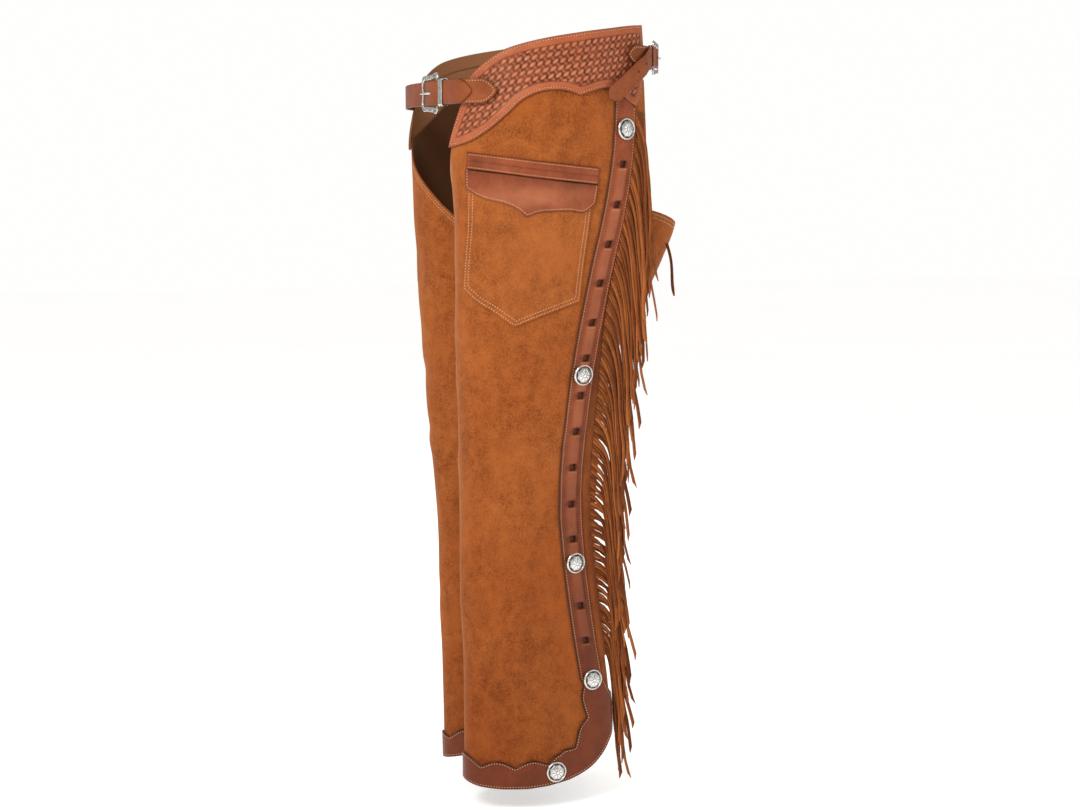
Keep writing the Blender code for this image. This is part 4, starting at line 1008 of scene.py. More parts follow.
def zip_strip(tag, side):
    """Closed zip inside the slit: a woven tape with a row of small crossing teeth."""
    z = np.linspace(*ZIP_SPAN, TAPE_ROWS)[:, None] * MM
    u = np.linspace(-TAPE_HALF, TAPE_HALF, TAPE_COLUMNS) * MM
    s = follow(ZIP_LINE, z) + u[None, :]
    tape = laid(f"zip_tape_{tag}", side, s, z, IN_ZIP, IN_ZIP + TAPE_THICK, "tape")
    settle(tape, [f"zip_{tag}"])
    z = np.arange(ZIP_SPAN[0] - 4, ZIP_SPAN[1] + 6, -TOOTH_PITCH) * MM
    s = follow(ZIP_LINE, z)
    forward, up, out = directions(side, s, z)
    centre = place(side, s, z, IN_ZIP + TAPE_THICK + 0.5 * MM)
    reach = np.linspace(-TOOTH_HALF, TOOTH_HALF, 5)[None, :, None, None] * MM
    full = np.array(TOOTH_FULL)[None, :, None, None] * MM
    turn = (np.arange(5) * math.pi * 0.4)[None, None, :, None]
    rings = (centre[:, None, None] + forward[:, None, None] * reach
             + up[:, None, None] * np.cos(turn) * full * 0.85
             + out[:, None, None] * np.sin(turn) * full * 0.9)
    settle(swept(f"zip_teeth_{tag}", rings, "coil"), [])


def hang(name, level):
    """Read one column of the fringe table at a root height."""
    index = HANG_COLUMNS.index(name)
    return follow([(row[0], row[index]) for row in HANG], level)


def fringe_axes():
    """Directions backwards and outwards in which the fringe hangs off the leg, and up."""
    back = unit(np.array([*FRINGE_BACK, 0.0]))
    return back, np.array([back[1], -back[0], 0.0]), np.array([0.0, 0.0, 1.0])


def strand_line(root, number, more_turn, lift):
    """Middle of a strand: it turns back off its root as a dying curve, then falls with a sway."""
    back, out, up = fringe_axes()
    drift, turn = hang("drift", root[2]) / MM, hang("turn", root[2]) + more_turn
    turn_drop = hang("turn_drop", root[2])
    leads = number % LEADER_EVERY == LEADER_EVERY // 2
    shorter = 1 - LENGTH_SPREAD * (1 + math.sin(number * SPREAD_TURN))
    length = hang("length", root[2]) * (LEADER_LONG if leads else shorter)
    drop = np.append((length - TIP_LONG * MM) * np.linspace(0, 1, STRAND_RINGS - 1) ** RING_CROWD, length)
    fade = np.exp(-drop / turn_drop)
    bend = LEADER_CURL if leads else TIP_CURL * math.sin(number * CURL_TURN)
    curl = bend * MM * (drop / length) ** 2.5
    wave = 2 * math.pi * drop / (SWAY_LONG * MM) + number * SWAY_TURN
    sway = SWAY * MM * np.sin(wave) * drop / length
    centre = (root + back * (turn * (1 - fade) + drift * drop + sway + curl)[:, None] - up * drop[:, None]
              + out * (lift * (1 - fade))[:, None])
    slope = (turn / turn_drop * fade + drift
             + SWAY / SWAY_LONG * 2 * math.pi * np.cos(wave) * drop / length)
    return centre, drop, length, np.arctan(slope)


def strand_path(centre, levels):
    """Distance back and out of a strand at each test height, empty outside its reach."""
    back, out, _ = fringe_axes()
    rows = centre[::-1]
    inside = (levels >= rows[0, 2]) & (levels <= rows[-1, 2])
    return np.where(inside, [np.interp(levels, rows[:, 2], rows @ way) for way in (back, out)], np.nan)


def root_levels():
    """Heights of the strands' roots, from top to bottom, at the pitch that the table gives."""
    fine = np.linspace(FRINGE_TOP, FRINGE_END, 2000) * MM
    steps = np.abs(fine[1] - fine[0]) / hang("pitch", fine)
    number = np.cumsum(steps)
    count = int(number[-1])
    return np.interp((np.arange(count) + 0.5) * number[-1] / count, number, fine)


def hang_strands(roots):
    """Hang every strand from the lowest up, each in the nearest place clear of those below."""
    levels = np.arange(roots[:, 2].min() - 0.2, roots[:, 2].max(), 4 * MM)
    places = sorted((layer + turn, layer, turn) for layer in range(LAYERS) for turn in range(TURNS))
    hung, paths = {}, np.empty((0, 2, len(levels)))
    for number in reversed(range(len(roots))):
        for _, layer, turn in places:
            line = strand_line(roots[number], number, turn * TURN_STEP * MM, layer * LAYER_STEP * MM)
            path = strand_path(line[0], levels)
            gap = np.abs(paths - path[None])
            meets = (gap[:, 0] < (2 * STRAND_HALF + NEAREST) * MM) & (gap[:, 1] < ROOT_THICK + NEAREST * MM)
            if not meets.any():
                break
        hung[number] = line
        paths = np.concatenate([paths, path[None]])
    return [hung[number] for number in range(len(roots))]


def strand_rings(line, number):
    """Flat four-sided rings: edge on at the root, flat where the strand hangs, cut slanting at its tip."""
    centre, drop, length, lean = line
    back, out, up = fringe_axes()
    lean = lean + (math.pi / 2 - lean) * np.exp(-drop / (ROOT_TURN * MM))
    wide = back * np.cos(lean)[:, None] + up * np.sin(lean)[:, None]
    twist = TWIST * math.sin(number * TWIST_TURN + 0.4) * drop / length
    wide = wide * np.cos(twist)[:, None] + out * np.sin(twist)[:, None]
    along = unit(np.gradient(centre, axis=0))
    thick = unit(np.cross(wide, along)) * ROOT_THICK * 0.42
    own_half = STRAND_HALF * MM * (1 + 0.1 * math.sin(number * WIDTH_TURN))
    half = own_half * (1 + 0.05 * np.sin(drop * 90 + number))
    cut = np.clip(1 - (length - drop) / (TIP_LONG * MM), 0, 1)
    short = (0.0, TIP_CUT) if number % 3 else (TIP_CUT, 0.0)
    near, far = (centre + wide * (way * half * (1 - amount * cut))[:, None]
                 for way, amount in zip((-1, 1), short))
    return np.stack([near - thick, near + thick, far + thick, far - thick], axis=1)


def fringe(tag, side):
    """A root band behind the strip with strands cut from its rear edge."""
    levels = np.linspace(FRINGE_TOP, FRINGE_END, BAND_ROWS) * MM
    rear = hang("rear_s", levels)
    fixed = np.linspace(*ROOT_ARCS, 4) * MM
    tail = np.linspace(0, 1, 6)[None, 1:]
    s = np.concatenate([np.broadcast_to(fixed[None, :], (len(levels), 4)),
                        fixed[-1] + (rear[:, None] - fixed[-1]) * tail], axis=1)
    z = np.broadcast_to(levels[:, None], s.shape)
    rise = np.interp(np.arange(s.shape[1]), (0, 3, 8), ROOT_RISES) * MM
    base = ON_SUEDE + rise[None, :]
    # Painted shade on the band's rear part, dark between the upper strands.
    gap_shade = GAP_SHADE * np.clip(hang("lead", levels) / (10 * MM), 0, 1)[:, None] * (np.arange(s.shape[1]) > 1)
    band = laid(f"fringe_band_{tag}", side, s, z, base, base + ROOT_THICK, "suede", {"tone": gap_shade})
    settle(band, [f"fringe_{tag}"])
    levels = root_levels()
    lead = hang("lead", levels)
    on_band = np.clip(lead / (4 * MM), 0, 1) * (ROOT_THICK / 2 + LIE_ON_BAND * MM)
    roots = place(1, hang("rear_s", levels) + lead, levels, base[0, -1] + ROOT_THICK / 2 + on_band)
    lines = hang_strands(roots - fringe_axes()[0] * 0.8 * MM)
    rings = np.stack([strand_rings(line, number) for number, line in enumerate(lines)]) * (side, 1, 1)
    middle_tone, tone_swing = STRAND_TONE
    tone = middle_tone + tone_swing * np.sin(np.arange(len(lines)) * TONE_TURN)[:, None, None]
    # Painted highlight on one edge of each strand and painted shade on the other.
    tone = tone + np.array(EDGE_LIGHT_AND_SHADE)
    strands = swept(f"fringe_strands_{tag}", rings, "suede", {"tone": tone})
    settle(strands, [])
    return [band, strands]


def sewn_sheet(name, side, s, z, base, thick, finish, groove=0.0, marks=None):
    """A thin sheet on the form with rounded cut edges and pressed lines."""
    edge = line_distance(s, z, border_of(s, z))
    round_off = edge_share(edge, ROUNDED)
    top = base + thick - 0.5 * thick * round_off ** 2 - 0.4 * MM * groove
    # hollow paints shade in the pressed groove; rim marks the dark cut edge.
    stored = {"rim": round_off, "hollow": 0.6 * groove * np.ones(s.shape), "edge": edge_share(edge, 2.5)}
    stored.update(marks or {})
    return laid(name, side, s * MM, z * MM, base, top, finish, stored)


def pocket(tag, side):
    """The pointed patch sewn twice round, the grooved welt over it and the pointed flap between."""
    s, z = spread_ribs(smooth_ribs(PATCH, PATCH_CELL, PATCH_POINTS), rim_shares(PATCH_DEEP, PATCH_CELL))
    patch = sewn_sheet(f"pocket_patch_{tag}", side, s, z, ON_SUEDE, PATCH_THICK, "suede",
                       marks={"tone": PATCH_TONE})
    settle(patch, [f"pocket_patch_{tag}"])
    for inset in PATCH_SEAMS:
        sew_sheet(tag, side, inset_line(open_border(s, z), -inset), (ON_SUEDE + PATCH_THICK) / MM)
    ribs, down = smooth_ribs(WELT, WELT_CELL), rim_shares(WELT_DEEP, WELT_ROW)
    s, z = spread_ribs(ribs, down)
    groove = bell((down[:, None] - 0.5) * WELT_DEEP, 0.9)
    welt = sewn_sheet(f"pocket_welt_{tag}", side, s, z, ON_SUEDE, WELT_THICK, "band", groove)
    settle(welt, [f"pocket_welt_{tag}"])
    for share in WELT_SEAMS:
        line = np.concatenate(spread_ribs(ribs[3:-3], np.array([share]))).T
        sew_sheet(tag, side, line, (ON_SUEDE + WELT_THICK) / MM)
    s, z = spread_ribs(smooth_ribs(FLAP, FLAP_CELL, FLAP_POINTS), rim_shares(FLAP_DEEP, 2.0))
    shine_s, shine_z, shine_long, shine_high = FLAP_SHEEN
    # A painted sheen across the flap's middle, and painted shade along its top under the welt.
    sheen = bell(s - shine_s, shine_long) * bell(z - shine_z, shine_high)
    shade = 0.4 * edge_share(z[:1] - z, FLAP_SHADE)
    flap = sewn_sheet(f"pocket_flap_{tag}", side, s, z, ON_PATCH, FLAP_THICK, "band",
                      marks={"painted_highlight": 0.9 * sheen, "hollow": shade})
    settle(flap, [f"pocket_flap_{tag}"])
    sew_sheet(tag, side, inset_line(open_border(s, z), -FLAP_SEAM), (ON_PATCH + FLAP_THICK) / MM)
    return [patch, welt, flap]


def concho_rings():
    """Rings from the middle of a domed disc out to its edge: radius, turn, rise and darkness.

    The rise is the dome, plus petals inside a wavy line, plus a boss, plus a twisted rope at the rim."""
    radius = np.concatenate([np.linspace(0.15, FLOWER_EDGE, 27),
                             np.linspace(FLOWER_EDGE + 0.25, CONCHO_EDGE, 13)])
    r, q = radius[:, None], np.linspace(0, 2 * math.pi, CONCHO_SIDES, endpoint=False)[None, :]
    dome = np.array(CONCHO_DOME, float)
    rise = np.interp(r, dome[:, 0], dome[:, 1]) * np.ones(q.shape)
    wave = np.abs(np.cos(q * PETALS / 2))
    petal_edge = 5.8 + 5.2 * wave ** 0.7
    leaf_edge = 8.2 + 3.4 * (1 - wave ** 2) ** 0.8
    petal = np.clip((petal_edge - r) / 1.1, 0, 1)
    leaf = np.clip((leaf_edge - r) / 0.9, 0, 1)
    relief = np.maximum(petal, 0.55 * leaf)
    vein = bell((1 - wave) * r, 0.35) * (petal > 0) * (r > BOSS_EDGE)
    ring = bell(r - RING_AT, 0.35)
    boss = np.clip((2.5 - r) / 0.8, 0, 1)
    height = np.where(r < BOSS_EDGE, rise + 0.25 + 0.5 * boss,
                      rise + 0.5 * relief - 0.35 * vein - 0.3 * ring)
    offset = (r - ROPE_MIDDLE) / ROPE_HALF
    on_rope = np.abs(offset) < 1
    twist = np.abs(np.sin(ROPE_TURNS * q / 2 + 1.5 * offset))
    height = height + np.sqrt(np.clip(1 - offset ** 2, 0, 1)) * (0.75 + 0.35 * twist)
    dark = 0.8 * (1 - relief) * (r < RING_AT) * (r > 2.6) + 0.6 * ring + 0.7 * vein
    dark = dark + on_rope * (1 - twist) ** 2 * 0.7 + bell(r - 2.7, 0.3)
    return r, q, height, np.clip(dark, 0, 1)


def concho(name, side, s, z, lift):
    """A domed disc with a flower and a rope rim, set square on the leather and closed underneath."""
    r, q, height, dark = concho_rings()
    s, z = np.array([s * MM]), np.array([z * MM])
    forward, up, out = (way[0] for way in directions(side, s, z))
    centre = place(side, s, z, 0.0)[0] + out * lift
    r = np.concatenate([r, [[CONCHO_EDGE], [0.4]]]) * np.ones(q.shape)
    height = np.concatenate([height, np.zeros((2, q.shape[1]))])
    dark = np.concatenate([dark, np.full((2, q.shape[1]), 0.5)])
    rings = centre + ((r * np.cos(q))[..., None] * forward + (r * np.sin(q))[..., None] * up
                      + height[..., None] * out) * MM
    return swept(name, rings[None], "silver", {"hollow": dark[None]}, sharp=50)


def conchos(tag, side):
    """Four conchos down the strip and one on the hem band."""
    made = []
    for number, level in enumerate(CONCHO_LEVELS, start=1):
        centre = follow(STRIP_CENTRE, level * MM) / MM
        made.append(concho(f"silver_concho_{tag}_{number}", side, centre, level, ON_BAND))
    made.append(concho(f"silver_concho_{tag}_{len(made) + 1}", side, *HEM_CONCHO, ON_HEM_BAND))
    for number, piece in enumerate(made, start=1):
        settle(piece, [f"concho_{tag}_{number}"])


def flat_ring(half_wide, half_thick, count=12, square=0.35):
    """Section of a flat strip with rounded edges, as across and out: a circle squared by a power."""
    turn = (np.arange(count) + 0.5) * 2 * math.pi / count
    c, s = np.cos(turn), np.sin(turn)
    return np.sign(c) * np.abs(c) ** square * half_wide, np.sign(s) * np.abs(s) ** square * half_thick


def carried(line, wide, across, out):
    """Rings of a section carried along a line; across and out are (rings, sides) distances."""
    along = unit(np.gradient(line, axis=0))
    wide = unit(wide - along * np.sum(wide * along, axis=1)[:, None])
    normal = np.cross(along, wide)
    return line[:, None] + wide[:, None] * across[..., None] + normal[:, None] * out[..., None]


def thigh_tie(tag, side):
    """A thin thong that hangs from the back corner of the leg with a lazy curl."""
    s, z = (np.array([value * MM]) for value in TIE_START)
    out = directions(side, s, z)[2][0]
    steps = np.linspace(0, 1, 40)[:, None]
    line = (place(side, s, z, 0.0)[0] + out * TIE_OUT * MM + np.array(TIE_RUN)[None, :] * MM * steps
            + np.array((0, 2.2, 0))[None, :] * MM * np.sin(steps * 5.2))
    wide = np.array(TIE_WIDE)[None, :] * (side, 1, 1) - np.array((0, 0.25, 0))[None, :] * np.sin(steps * 4)
    across, rise = flat_ring(TIE_HALF * MM, TIE_THICK * MM / 2, 10)
    taper = 1 - 0.55 * np.clip((steps - 0.88) / 0.12, 0, 1)
    rings = carried(line, wide, across[None, :] * taper, rise[None, :] * np.ones(taper.shape))
    piece = swept(f"thong_{tag}", rings[None], "suede", {"tone": 0.8})
    settle(piece, [f"thigh_tie_{tag}"])


class Belt:
    """A belt line in plan: places points by distance from the buckle, rise and distance out, in mm."""

    def __init__(self, line, buckle_x, height, droop, tip):
        self.line = smooth_line(line, 2)
        run = running(self.line)
        self.run = run - np.interp(buckle_x, self.line[:, 0], run)
        self.height, self.droop, self.tip = height, droop, tip
        self.sign = 1 if self.line[len(run) // 2, 1] > 0 else -1

    def at(self, a, up=0.0, out=0.0, droops=False):
        """Points at distances along, up and out."""
        a, up, out = np.broadcast_arrays(*(np.asarray(value, float) for value in (a, up, out)))
        ahead = unit(read_line(a + AHEAD, self.run, self.line) - read_line(a - AHEAD, self.run, self.line))
        away = self.sign * np.stack([-ahead[..., 1], ahead[..., 0]], axis=-1)
        plan = read_line(a, self.run, self.line) + away * (out + BELT_LIFT)[..., None]
        fall = self.droop * np.clip((a - DROOP_START) / (self.tip - DROOP_START), 0, None) if droops else 0.0
        return np.concatenate([plan, (self.height + fall + up)[..., None]], axis=-1) * MM


def up_arrows(count):
    """Upward directions for a belt's straps."""
    return np.tile([0.0, 0.0, 1.0], (count, 1))


def heel_turn(radius, angles):
    """Points round the buckle's heel bar, as distance along and out."""
    q = np.radians(angles)
    return np.stack([BUCKLE_HALF_LONG + radius * np.cos(q), LOOP_CENTRE + radius * np.sin(q)], axis=1)


def end_widths(from_end, half, long):
    """Half widths that close to a blunt point over a length before an end."""
    t = np.clip(1 - from_end / long, 0, 1)
    return half * (0.06 + 0.94 * (1 - t ** 1.7) ** 0.85)


def round_hole(u, across, row, middle, cell_wide):
    """Grid points round a hole moved from squares towards circles, less and less over the hole's reach."""
    du, dv = np.meshgrid(np.arange(u.shape[0]) - row, np.arange(u.shape[1]) - middle, indexing="ij")
    ring = np.maximum(np.abs(du), np.abs(dv))
    size = np.maximum(np.hypot(du, dv), 1e-9)
    pull = np.clip((HOLE_REACH - ring) / (HOLE_REACH - HOLE_CELLS), 0, 1)
    moved = u + (du / size * ring - du) * pull * STRAP_CELL * MM
    return moved, across + (dv / size * ring - dv) * pull * cell_wide


def strap(name, line, wide, half, thick, holes=(), slots=()):
    """A strap along a line, with rounded edges and a line pressed inside them, small round holes and slots.

    Holes and slots are given by running length; a hole is a square of cells left out, and the points round
    it are moved towards circles."""
    run = running(line)
    along = unit(np.gradient(line, axis=0))
    wide = unit(wide - along * np.sum(wide * along, axis=1)[:, None])
    normal = np.cross(along, wide)
    near = np.array((0, 0.4, 1.0)) * MM
    rows = np.arange(2 * MM, run[-1] - 2 * MM, STRAP_CELL * MM)
    at = np.concatenate([near, rows, run[-1] - near[::-1]])
    full = half.max()
    flat_share = 1 - 1.6 * MM / full
    count = 2 * int(flat_share * full / MM / STRAP_CELL)
    tight = 1 - np.array((0, 0.35, 0.9)) * MM / full
    v = np.concatenate([-tight, np.linspace(-flat_share, flat_share, count + 1), tight[::-1]])
    cell_wide = 2 * flat_share * full / count
    u, share = np.meshgrid(at, v, indexing="ij")
    width = np.interp(at, run, half)[:, None]
    across = share * width
    middle = len(v) // 2
    keep = np.ones((len(at) - 1, len(v) - 1), bool)
    for hole in holes:
        row = len(near) + int(round((hole - rows[0]) / (STRAP_CELL * MM)))
        u, across = round_hole(u, across, row, middle, cell_wide)
        keep[row - HOLE_CELLS:row + HOLE_CELLS, middle - HOLE_CELLS:middle + HOLE_CELLS] = False
    cell_v = (across[:-1, :-1] + across[1:, 1:]) / 2
    for low, high in slots:
        keep &= ~(((at[1:] < high) & (at[:-1] > low))[:, None] & (np.abs(cell_v) < SLOT_HALF * MM))
    edge = np.minimum(width - np.abs(across), np.minimum(u, run[-1] - u)) / MM
    round_off = edge_share(edge, STRAP_ROUNDED)
    press = bell(edge - PRESSED_AT, PRESSED_THIN)
    lift = thick / 2 - 0.45 * thick * round_off ** 2
    centre, sideways, upwards = (read_line(u, run, rows_of) for rows_of in (line, wide, normal))
    flat = centre + sideways * across[..., None]
    under, over = flat - upwards * lift[..., None], flat + upwards * (lift - 0.12 * MM * press)[..., None]
    return shell(name, under, over, "strap", {"rim": round_off, "hollow": 0.35 * press, "inside": 0.0}, keep)


def chape(belt, name, width, tab_end):
    """The folded strap end that holds the buckle and is sewn on the left yoke as a tab."""
    straight = BUCKLE_HALF_LONG + CHAPE_STRAIGHT
    lower = [(a, CHAPE_BOTTOM) for a in np.linspace(tab_end - CHAPE_UNDER_END, straight, 7)]
    lower[:2] = [(a, out - CHAPE_DROP) for a, out in lower[:2]]
    upper = [(a, CHAPE_TOP) for a in np.linspace(straight, tab_end, 9)]
    path = smooth_line([*lower, *heel_turn(LOOP_RADIUS, CHAPE_TURN), *upper], 0.9)
    line = belt.at(path[:, 0], 0, path[:, 1])
    run = running(line)
    half = end_widths(run[-1] - run, width / 2 * MM, END_ROUND[name] * MM)
    turn = np.flatnonzero(path[:, 0] < BUCKLE_HALF_LONG + 5)
    piece = strap(f"{name}_tab", line, up_arrows(len(line)), half, CHAPE_THICK * MM,
                  slots=[(run[turn[0]], run[turn[-1]])])
    settle(piece, [f"{name}_chape"])
    a = np.linspace(tab_end - 42, tab_end - 0.5, 60)
    rise = end_widths(tab_end - a, width / 2, END_ROUND[name])
    edge = np.concatenate([np.stack([a, rise], axis=1), np.stack([a, -rise], axis=1)[::-1]])
    seam = inset_line(edge, -2.9)
    points = belt.at(seam[:, 0], seam[:, 1], CHAPE_TOP + CHAPE_THICK / 2)
    sew("left", points, belt.at(seam[:, 0], seam[:, 1], CHAPE_TOP + 3) - points)


def billet(belt, name, width, start, tip, holes):
    """The strap from the right yoke, through the buckle, with its free end on the left."""
    before = [(a, BILLET_LOW) for a in np.linspace(start, BILLET_BEFORE, 10)]
    before[:2] = [(a, out - BILLET_DROP) for a, out in before[:2]]
    after = [(a, BILLET_HIGH) for a in np.linspace(BILLET_AFTER, tip, 8)]
    a, out = smooth_line([*before, *BILLET_PATH, *after], 1.2).T
    raised = (BILLET_LIFT if belt.droop else 0.0) * np.clip((a - BILLET_AFTER) / BILLET_LIFT_RUN, 0, 1)
    line = belt.at(a, 0, out + raised, True)
    steps = np.gradient(line, axis=0)
    plan = np.hypot(steps[:, 0], steps[:, 1])
    tilt = np.stack([-steps[:, 0] * steps[:, 2] / plan, -steps[:, 1] * steps[:, 2] / plan, plan], axis=1)
    run = running(line)
    half = end_widths(run[-1] - run, (width / 2 - BILLET_SPARE) * MM, END_ROUND[name] * MM)
    piece = strap(f"{name}_billet", line, tilt, half, STRAP_THICK * MM,
                  [np.interp(hole, a, run) for hole in holes], [np.interp(HOLE_SPAN, a, run)])
    settle(piece, [f"{name}_strap"])
    rise = np.linspace(-width / 2 + 4, width / 2 - 4, 12)
    for offset in (6, 22):
        points = belt.at(start + offset, rise, BILLET_LOW + STRAP_THICK / 2)
        sew("right", points, belt.at(start + offset, rise, BILLET_LOW + 4) - points)


def buckle_frame(belt, name, width):
    """A closed frame: a rounded section between an inner and an outer outline, engraved on its arms."""
    upper = np.array(BUCKLE_OUTLINE, float)
    outline = np.concatenate([upper, upper[-2:0:-1] * (1, -1)])
    count = len(outline)
    loop = np.concatenate([outline[-3:], outline, outline[:4]])
    run = running(loop)
    outline = cubic(run, loop, np.linspace(run[3], run[3 + count], 221)[:-1])
    inside = outline * (BUCKLE_HALF_LONG - BUCKLE_BAR / 2, width / 2 + BUCKLE_INSIDE)
    outside = outline * (BUCKLE_HALF_LONG + BUCKLE_BAR / 2, width / 2 + BUCKLE_OUTSIDE)
    share, rise = flat_ring(1.0, 1.0, 26, 0.55)
    middle, reach = (inside + outside) / 2, (outside - inside) / 2
    plan = middle[:, None] + reach[:, None] * share[None, :, None]
    a, up = plan[..., 0], plan[..., 1]
    arm = np.clip((np.linalg.norm(reach, axis=1)[:, None] - 1.6) / 1.2, 0, 1)
    beyond = np.abs(up) - width / 2
    scroll = 0.5 + 0.5 * np.sin(0.95 * a + 1.6 * np.sin(0.8 * beyond)) * np.cos(0.55 * beyond + 0.4 * a)
    cut = arm * np.clip((0.78 - np.abs(share)) / 0.15, 0, 1)[None, :] * scroll * (rise > 0)[None, :]
    out = (LOOP_CENTRE + BUCKLE_RISE * (1 - a / BUCKLE_HALF_LONG)
           + BUCKLE_PLATE / 2 * rise[None, :] * (1 + 0.25 * arm) - 0.55 * cut)
    piece = swept(f"{name}_buckle_frame", belt.at(a, up, out)[None], "silver",
                  {"hollow": np.clip(cut * 0.75, 0, 1)[None]}, closed=True, sharp=60)
    settle(piece, [f"{name}_buckle"])


def prong(belt, name):
    """The prong, hooked round the heel bar, up through the strap and over the far bar."""
    path = smooth_line([*heel_turn(HOOK_RADIUS, HOOK_TURN), *PRONG_PATH], 0.7)
    line = belt.at(path[:, 0], 0, path[:, 1])
    across, rise = flat_ring(PRONG_WIDTH / 2 * MM, PRONG_THICK / 2 * MM, 12, 0.7)
    share = np.linspace(0, 1, len(line))[:, None]
    taper = 1 - 0.35 * np.clip((share - 0.55) / 0.45, 0, 1) - 0.4 * np.clip((share - 0.97) / 0.03, 0, 1)
    rings = carried(line, up_arrows(len(line)), across[None, :] * taper, rise[None, :] * np.ones(share.shape))
    settle(swept(f"{name}_buckle_prong", rings[None], "silver"), [f"{name}_prong"])


def keeper_outline(half_up, half_out):
    """Even points round a rectangle with round corners, as up and out."""
    quarter = np.linspace(0, math.pi / 2, 7)
    loop = []
    for k, (su, so) in enumerate(((1, 1), (-1, 1), (-1, -1), (1, -1))):
        turn = quarter + k * math.pi / 2
        loop.append(np.stack([su * (half_up - KEEPER_CORNER) + KEEPER_CORNER * np.cos(turn),
                              so * (half_out - KEEPER_CORNER) + KEEPER_CORNER * np.sin(turn)], axis=1))
    loop = np.concatenate([*loop, loop[0][:1]])
    run = running(loop)
    return read_line(np.linspace(0, run[-1], 151)[:-1], run, loop)


def keeper(belt, name, width, at, half_long, finish):
    """A loop round the folded chape and the free end; a metal one has roped edges."""
    low, high = KEEPER_INSIDE
    half_up = width / 2 + KEEPER_SPARE + KEEPER_THICK / 2
    half_out, middle = (high - low + KEEPER_THICK) / 2, (low + high) / 2
    loop = keeper_outline(half_up, half_out)
    ahead = np.roll(loop, -1, axis=0) - np.roll(loop, 1, axis=0)
    away = unit(np.stack([ahead[:, 1], -ahead[:, 0]], axis=1))
    share, rise = flat_ring(1.0, 1.0, 24, 0.45)
    number = np.arange(len(loop))[:, None]
    outer = (rise > 0)[None, :]
    edge = bell(np.abs(share) - 0.82, 0.13)[None, :] * outer
    twist = np.abs(np.sin(number * 1.25 + 2.2 * np.abs(share)[None, :]))
    metal = 1.0 if finish == "silver" else 0.0
    thick = KEEPER_THICK / 2 * rise[None, :] + metal * 0.55 * edge * (0.4 + 0.6 * twist)
    plan = loop[:, None] + away[:, None] * thick[..., None]
    rings = belt.at(at + half_long * share[None, :], plan[..., 0], middle + plan[..., 1])
    lines = np.sin(number * 0.5) ** 8 * outer * (np.abs(share) < 0.55)[None, :]
    dark = metal * np.clip(edge * (1 - twist) + 0.7 * lines, 0, 1) + (1 - metal) * 0.25 * edge
    piece = swept(f"{name}_loop", rings[None], finish, {"hollow": dark[None]}, closed=True, sharp=50)
    settle(piece, [f"{name}_keeper"])


def belts():
    """The front and back belts, each fastened."""
    lines = {"front": FRONT_LINE, "back": BACK_LINE}
    for name, buckle_x, height, width, start, tip, tab_end, droop, at, half_long, finish, holes in BELTS:
        belt = Belt(lines[name], buckle_x, height, droop, tip)
        chape(belt, name, width, tab_end)
        billet(belt, name, width, start, tip, holes)
        buckle_frame(belt, name, width)
        prong(belt, name)
        keeper(belt, name, width, at, half_long, finish)


def node_group(name, inputs, outputs):
    """An empty shader group with its sockets; returns its tree and the sockets inside."""
    tree = bpy.data.node_groups.new(name, "ShaderNodeTree")
    for key, kind, value in inputs:
        socket = tree.interface.new_socket(key, in_out="INPUT", socket_type=kind)
        if value is not None:
            socket.default_value = value
    for key, kind in outputs:
        tree.interface.new_socket(key, in_out="OUTPUT", socket_type=kind)
    return tree, tree.nodes.new("NodeGroupInput").outputs, tree.nodes.new("NodeGroupOutput").inputs


def use_group(tree, which, **values):
    """A group placed in a material, its inputs linked or set; returns its outputs."""
    node = tree.nodes.new("ShaderNodeGroup")
    node.node_tree = bpy.data.node_groups[which]
    for key, value in values.items():
        feed(tree, node.inputs[key], value)
    return node.outputs


def feed(tree, socket, value):
    """Link a socket to another node's output, or set its number or colour."""
    if isinstance(value, bpy.types.NodeSocket):
        tree.links.new(value, socket)
    elif isinstance(value, tuple) and socket.type == "RGBA":
        socket.default_value = (*value, 1.0)
    else:
        socket.default_value = value


def noise(tree, at, scale, detail=3.0, rough=0.55, stretch=None):
    """Noise between 0 and 1 on given coordinates, drawn out where a stretch is given."""
    if stretch:
        mapping = tree.nodes.new("ShaderNodeMapping")
        mapping.inputs["Scale"].default_value = stretch
        tree.links.new(at, mapping.inputs["Vector"])
        at = mapping.outputs["Vector"]
    node = tree.nodes.new("ShaderNodeTexNoise")
    node.inputs["Detail"].default_value = detail
    node.inputs["Roughness"].default_value = rough
    feed(tree, node.inputs["Scale"], scale)
    tree.links.new(at, node.inputs["Vector"])
    return node.outputs["Fac"]


def ranged(tree, value, low, high, to_low=0.0, to_high=1.0):
    """A value mapped from one range to another and held inside it."""
    node = tree.nodes.new("ShaderNodeMapRange")
    for key, number in (("From Min", low), ("From Max", high), ("To Min", to_low), ("To Max", to_high)):
        feed(tree, node.inputs[key], number)
    tree.links.new(value, node.inputs["Value"])
    return node.outputs["Result"]


def mixed(tree, share, first, second, blend="MIX"):
    """A colour between two, or blended in another way by a share."""
    node = tree.nodes.new("ShaderNodeMix")
    node.data_type = "RGBA"
    node.blend_type = blend
    for socket, value in ((node.inputs[0], share), (node.inputs[6], first), (node.inputs[7], second)):
        feed(tree, socket, value)
    return node.outputs[2]


def tinted(tree, share, colour, tint):
    """A colour multiplied by a tint, by a share."""
    return mixed(tree, share, colour, tint, "MULTIPLY")


def lower(tree, at, high, low):
    """0 at a height and above, 1 at a lower one and below."""
    node = tree.nodes.new("ShaderNodeSeparateXYZ")
    tree.links.new(at, node.inputs[0])
    return ranged(tree, node.outputs["Z"], high, low)


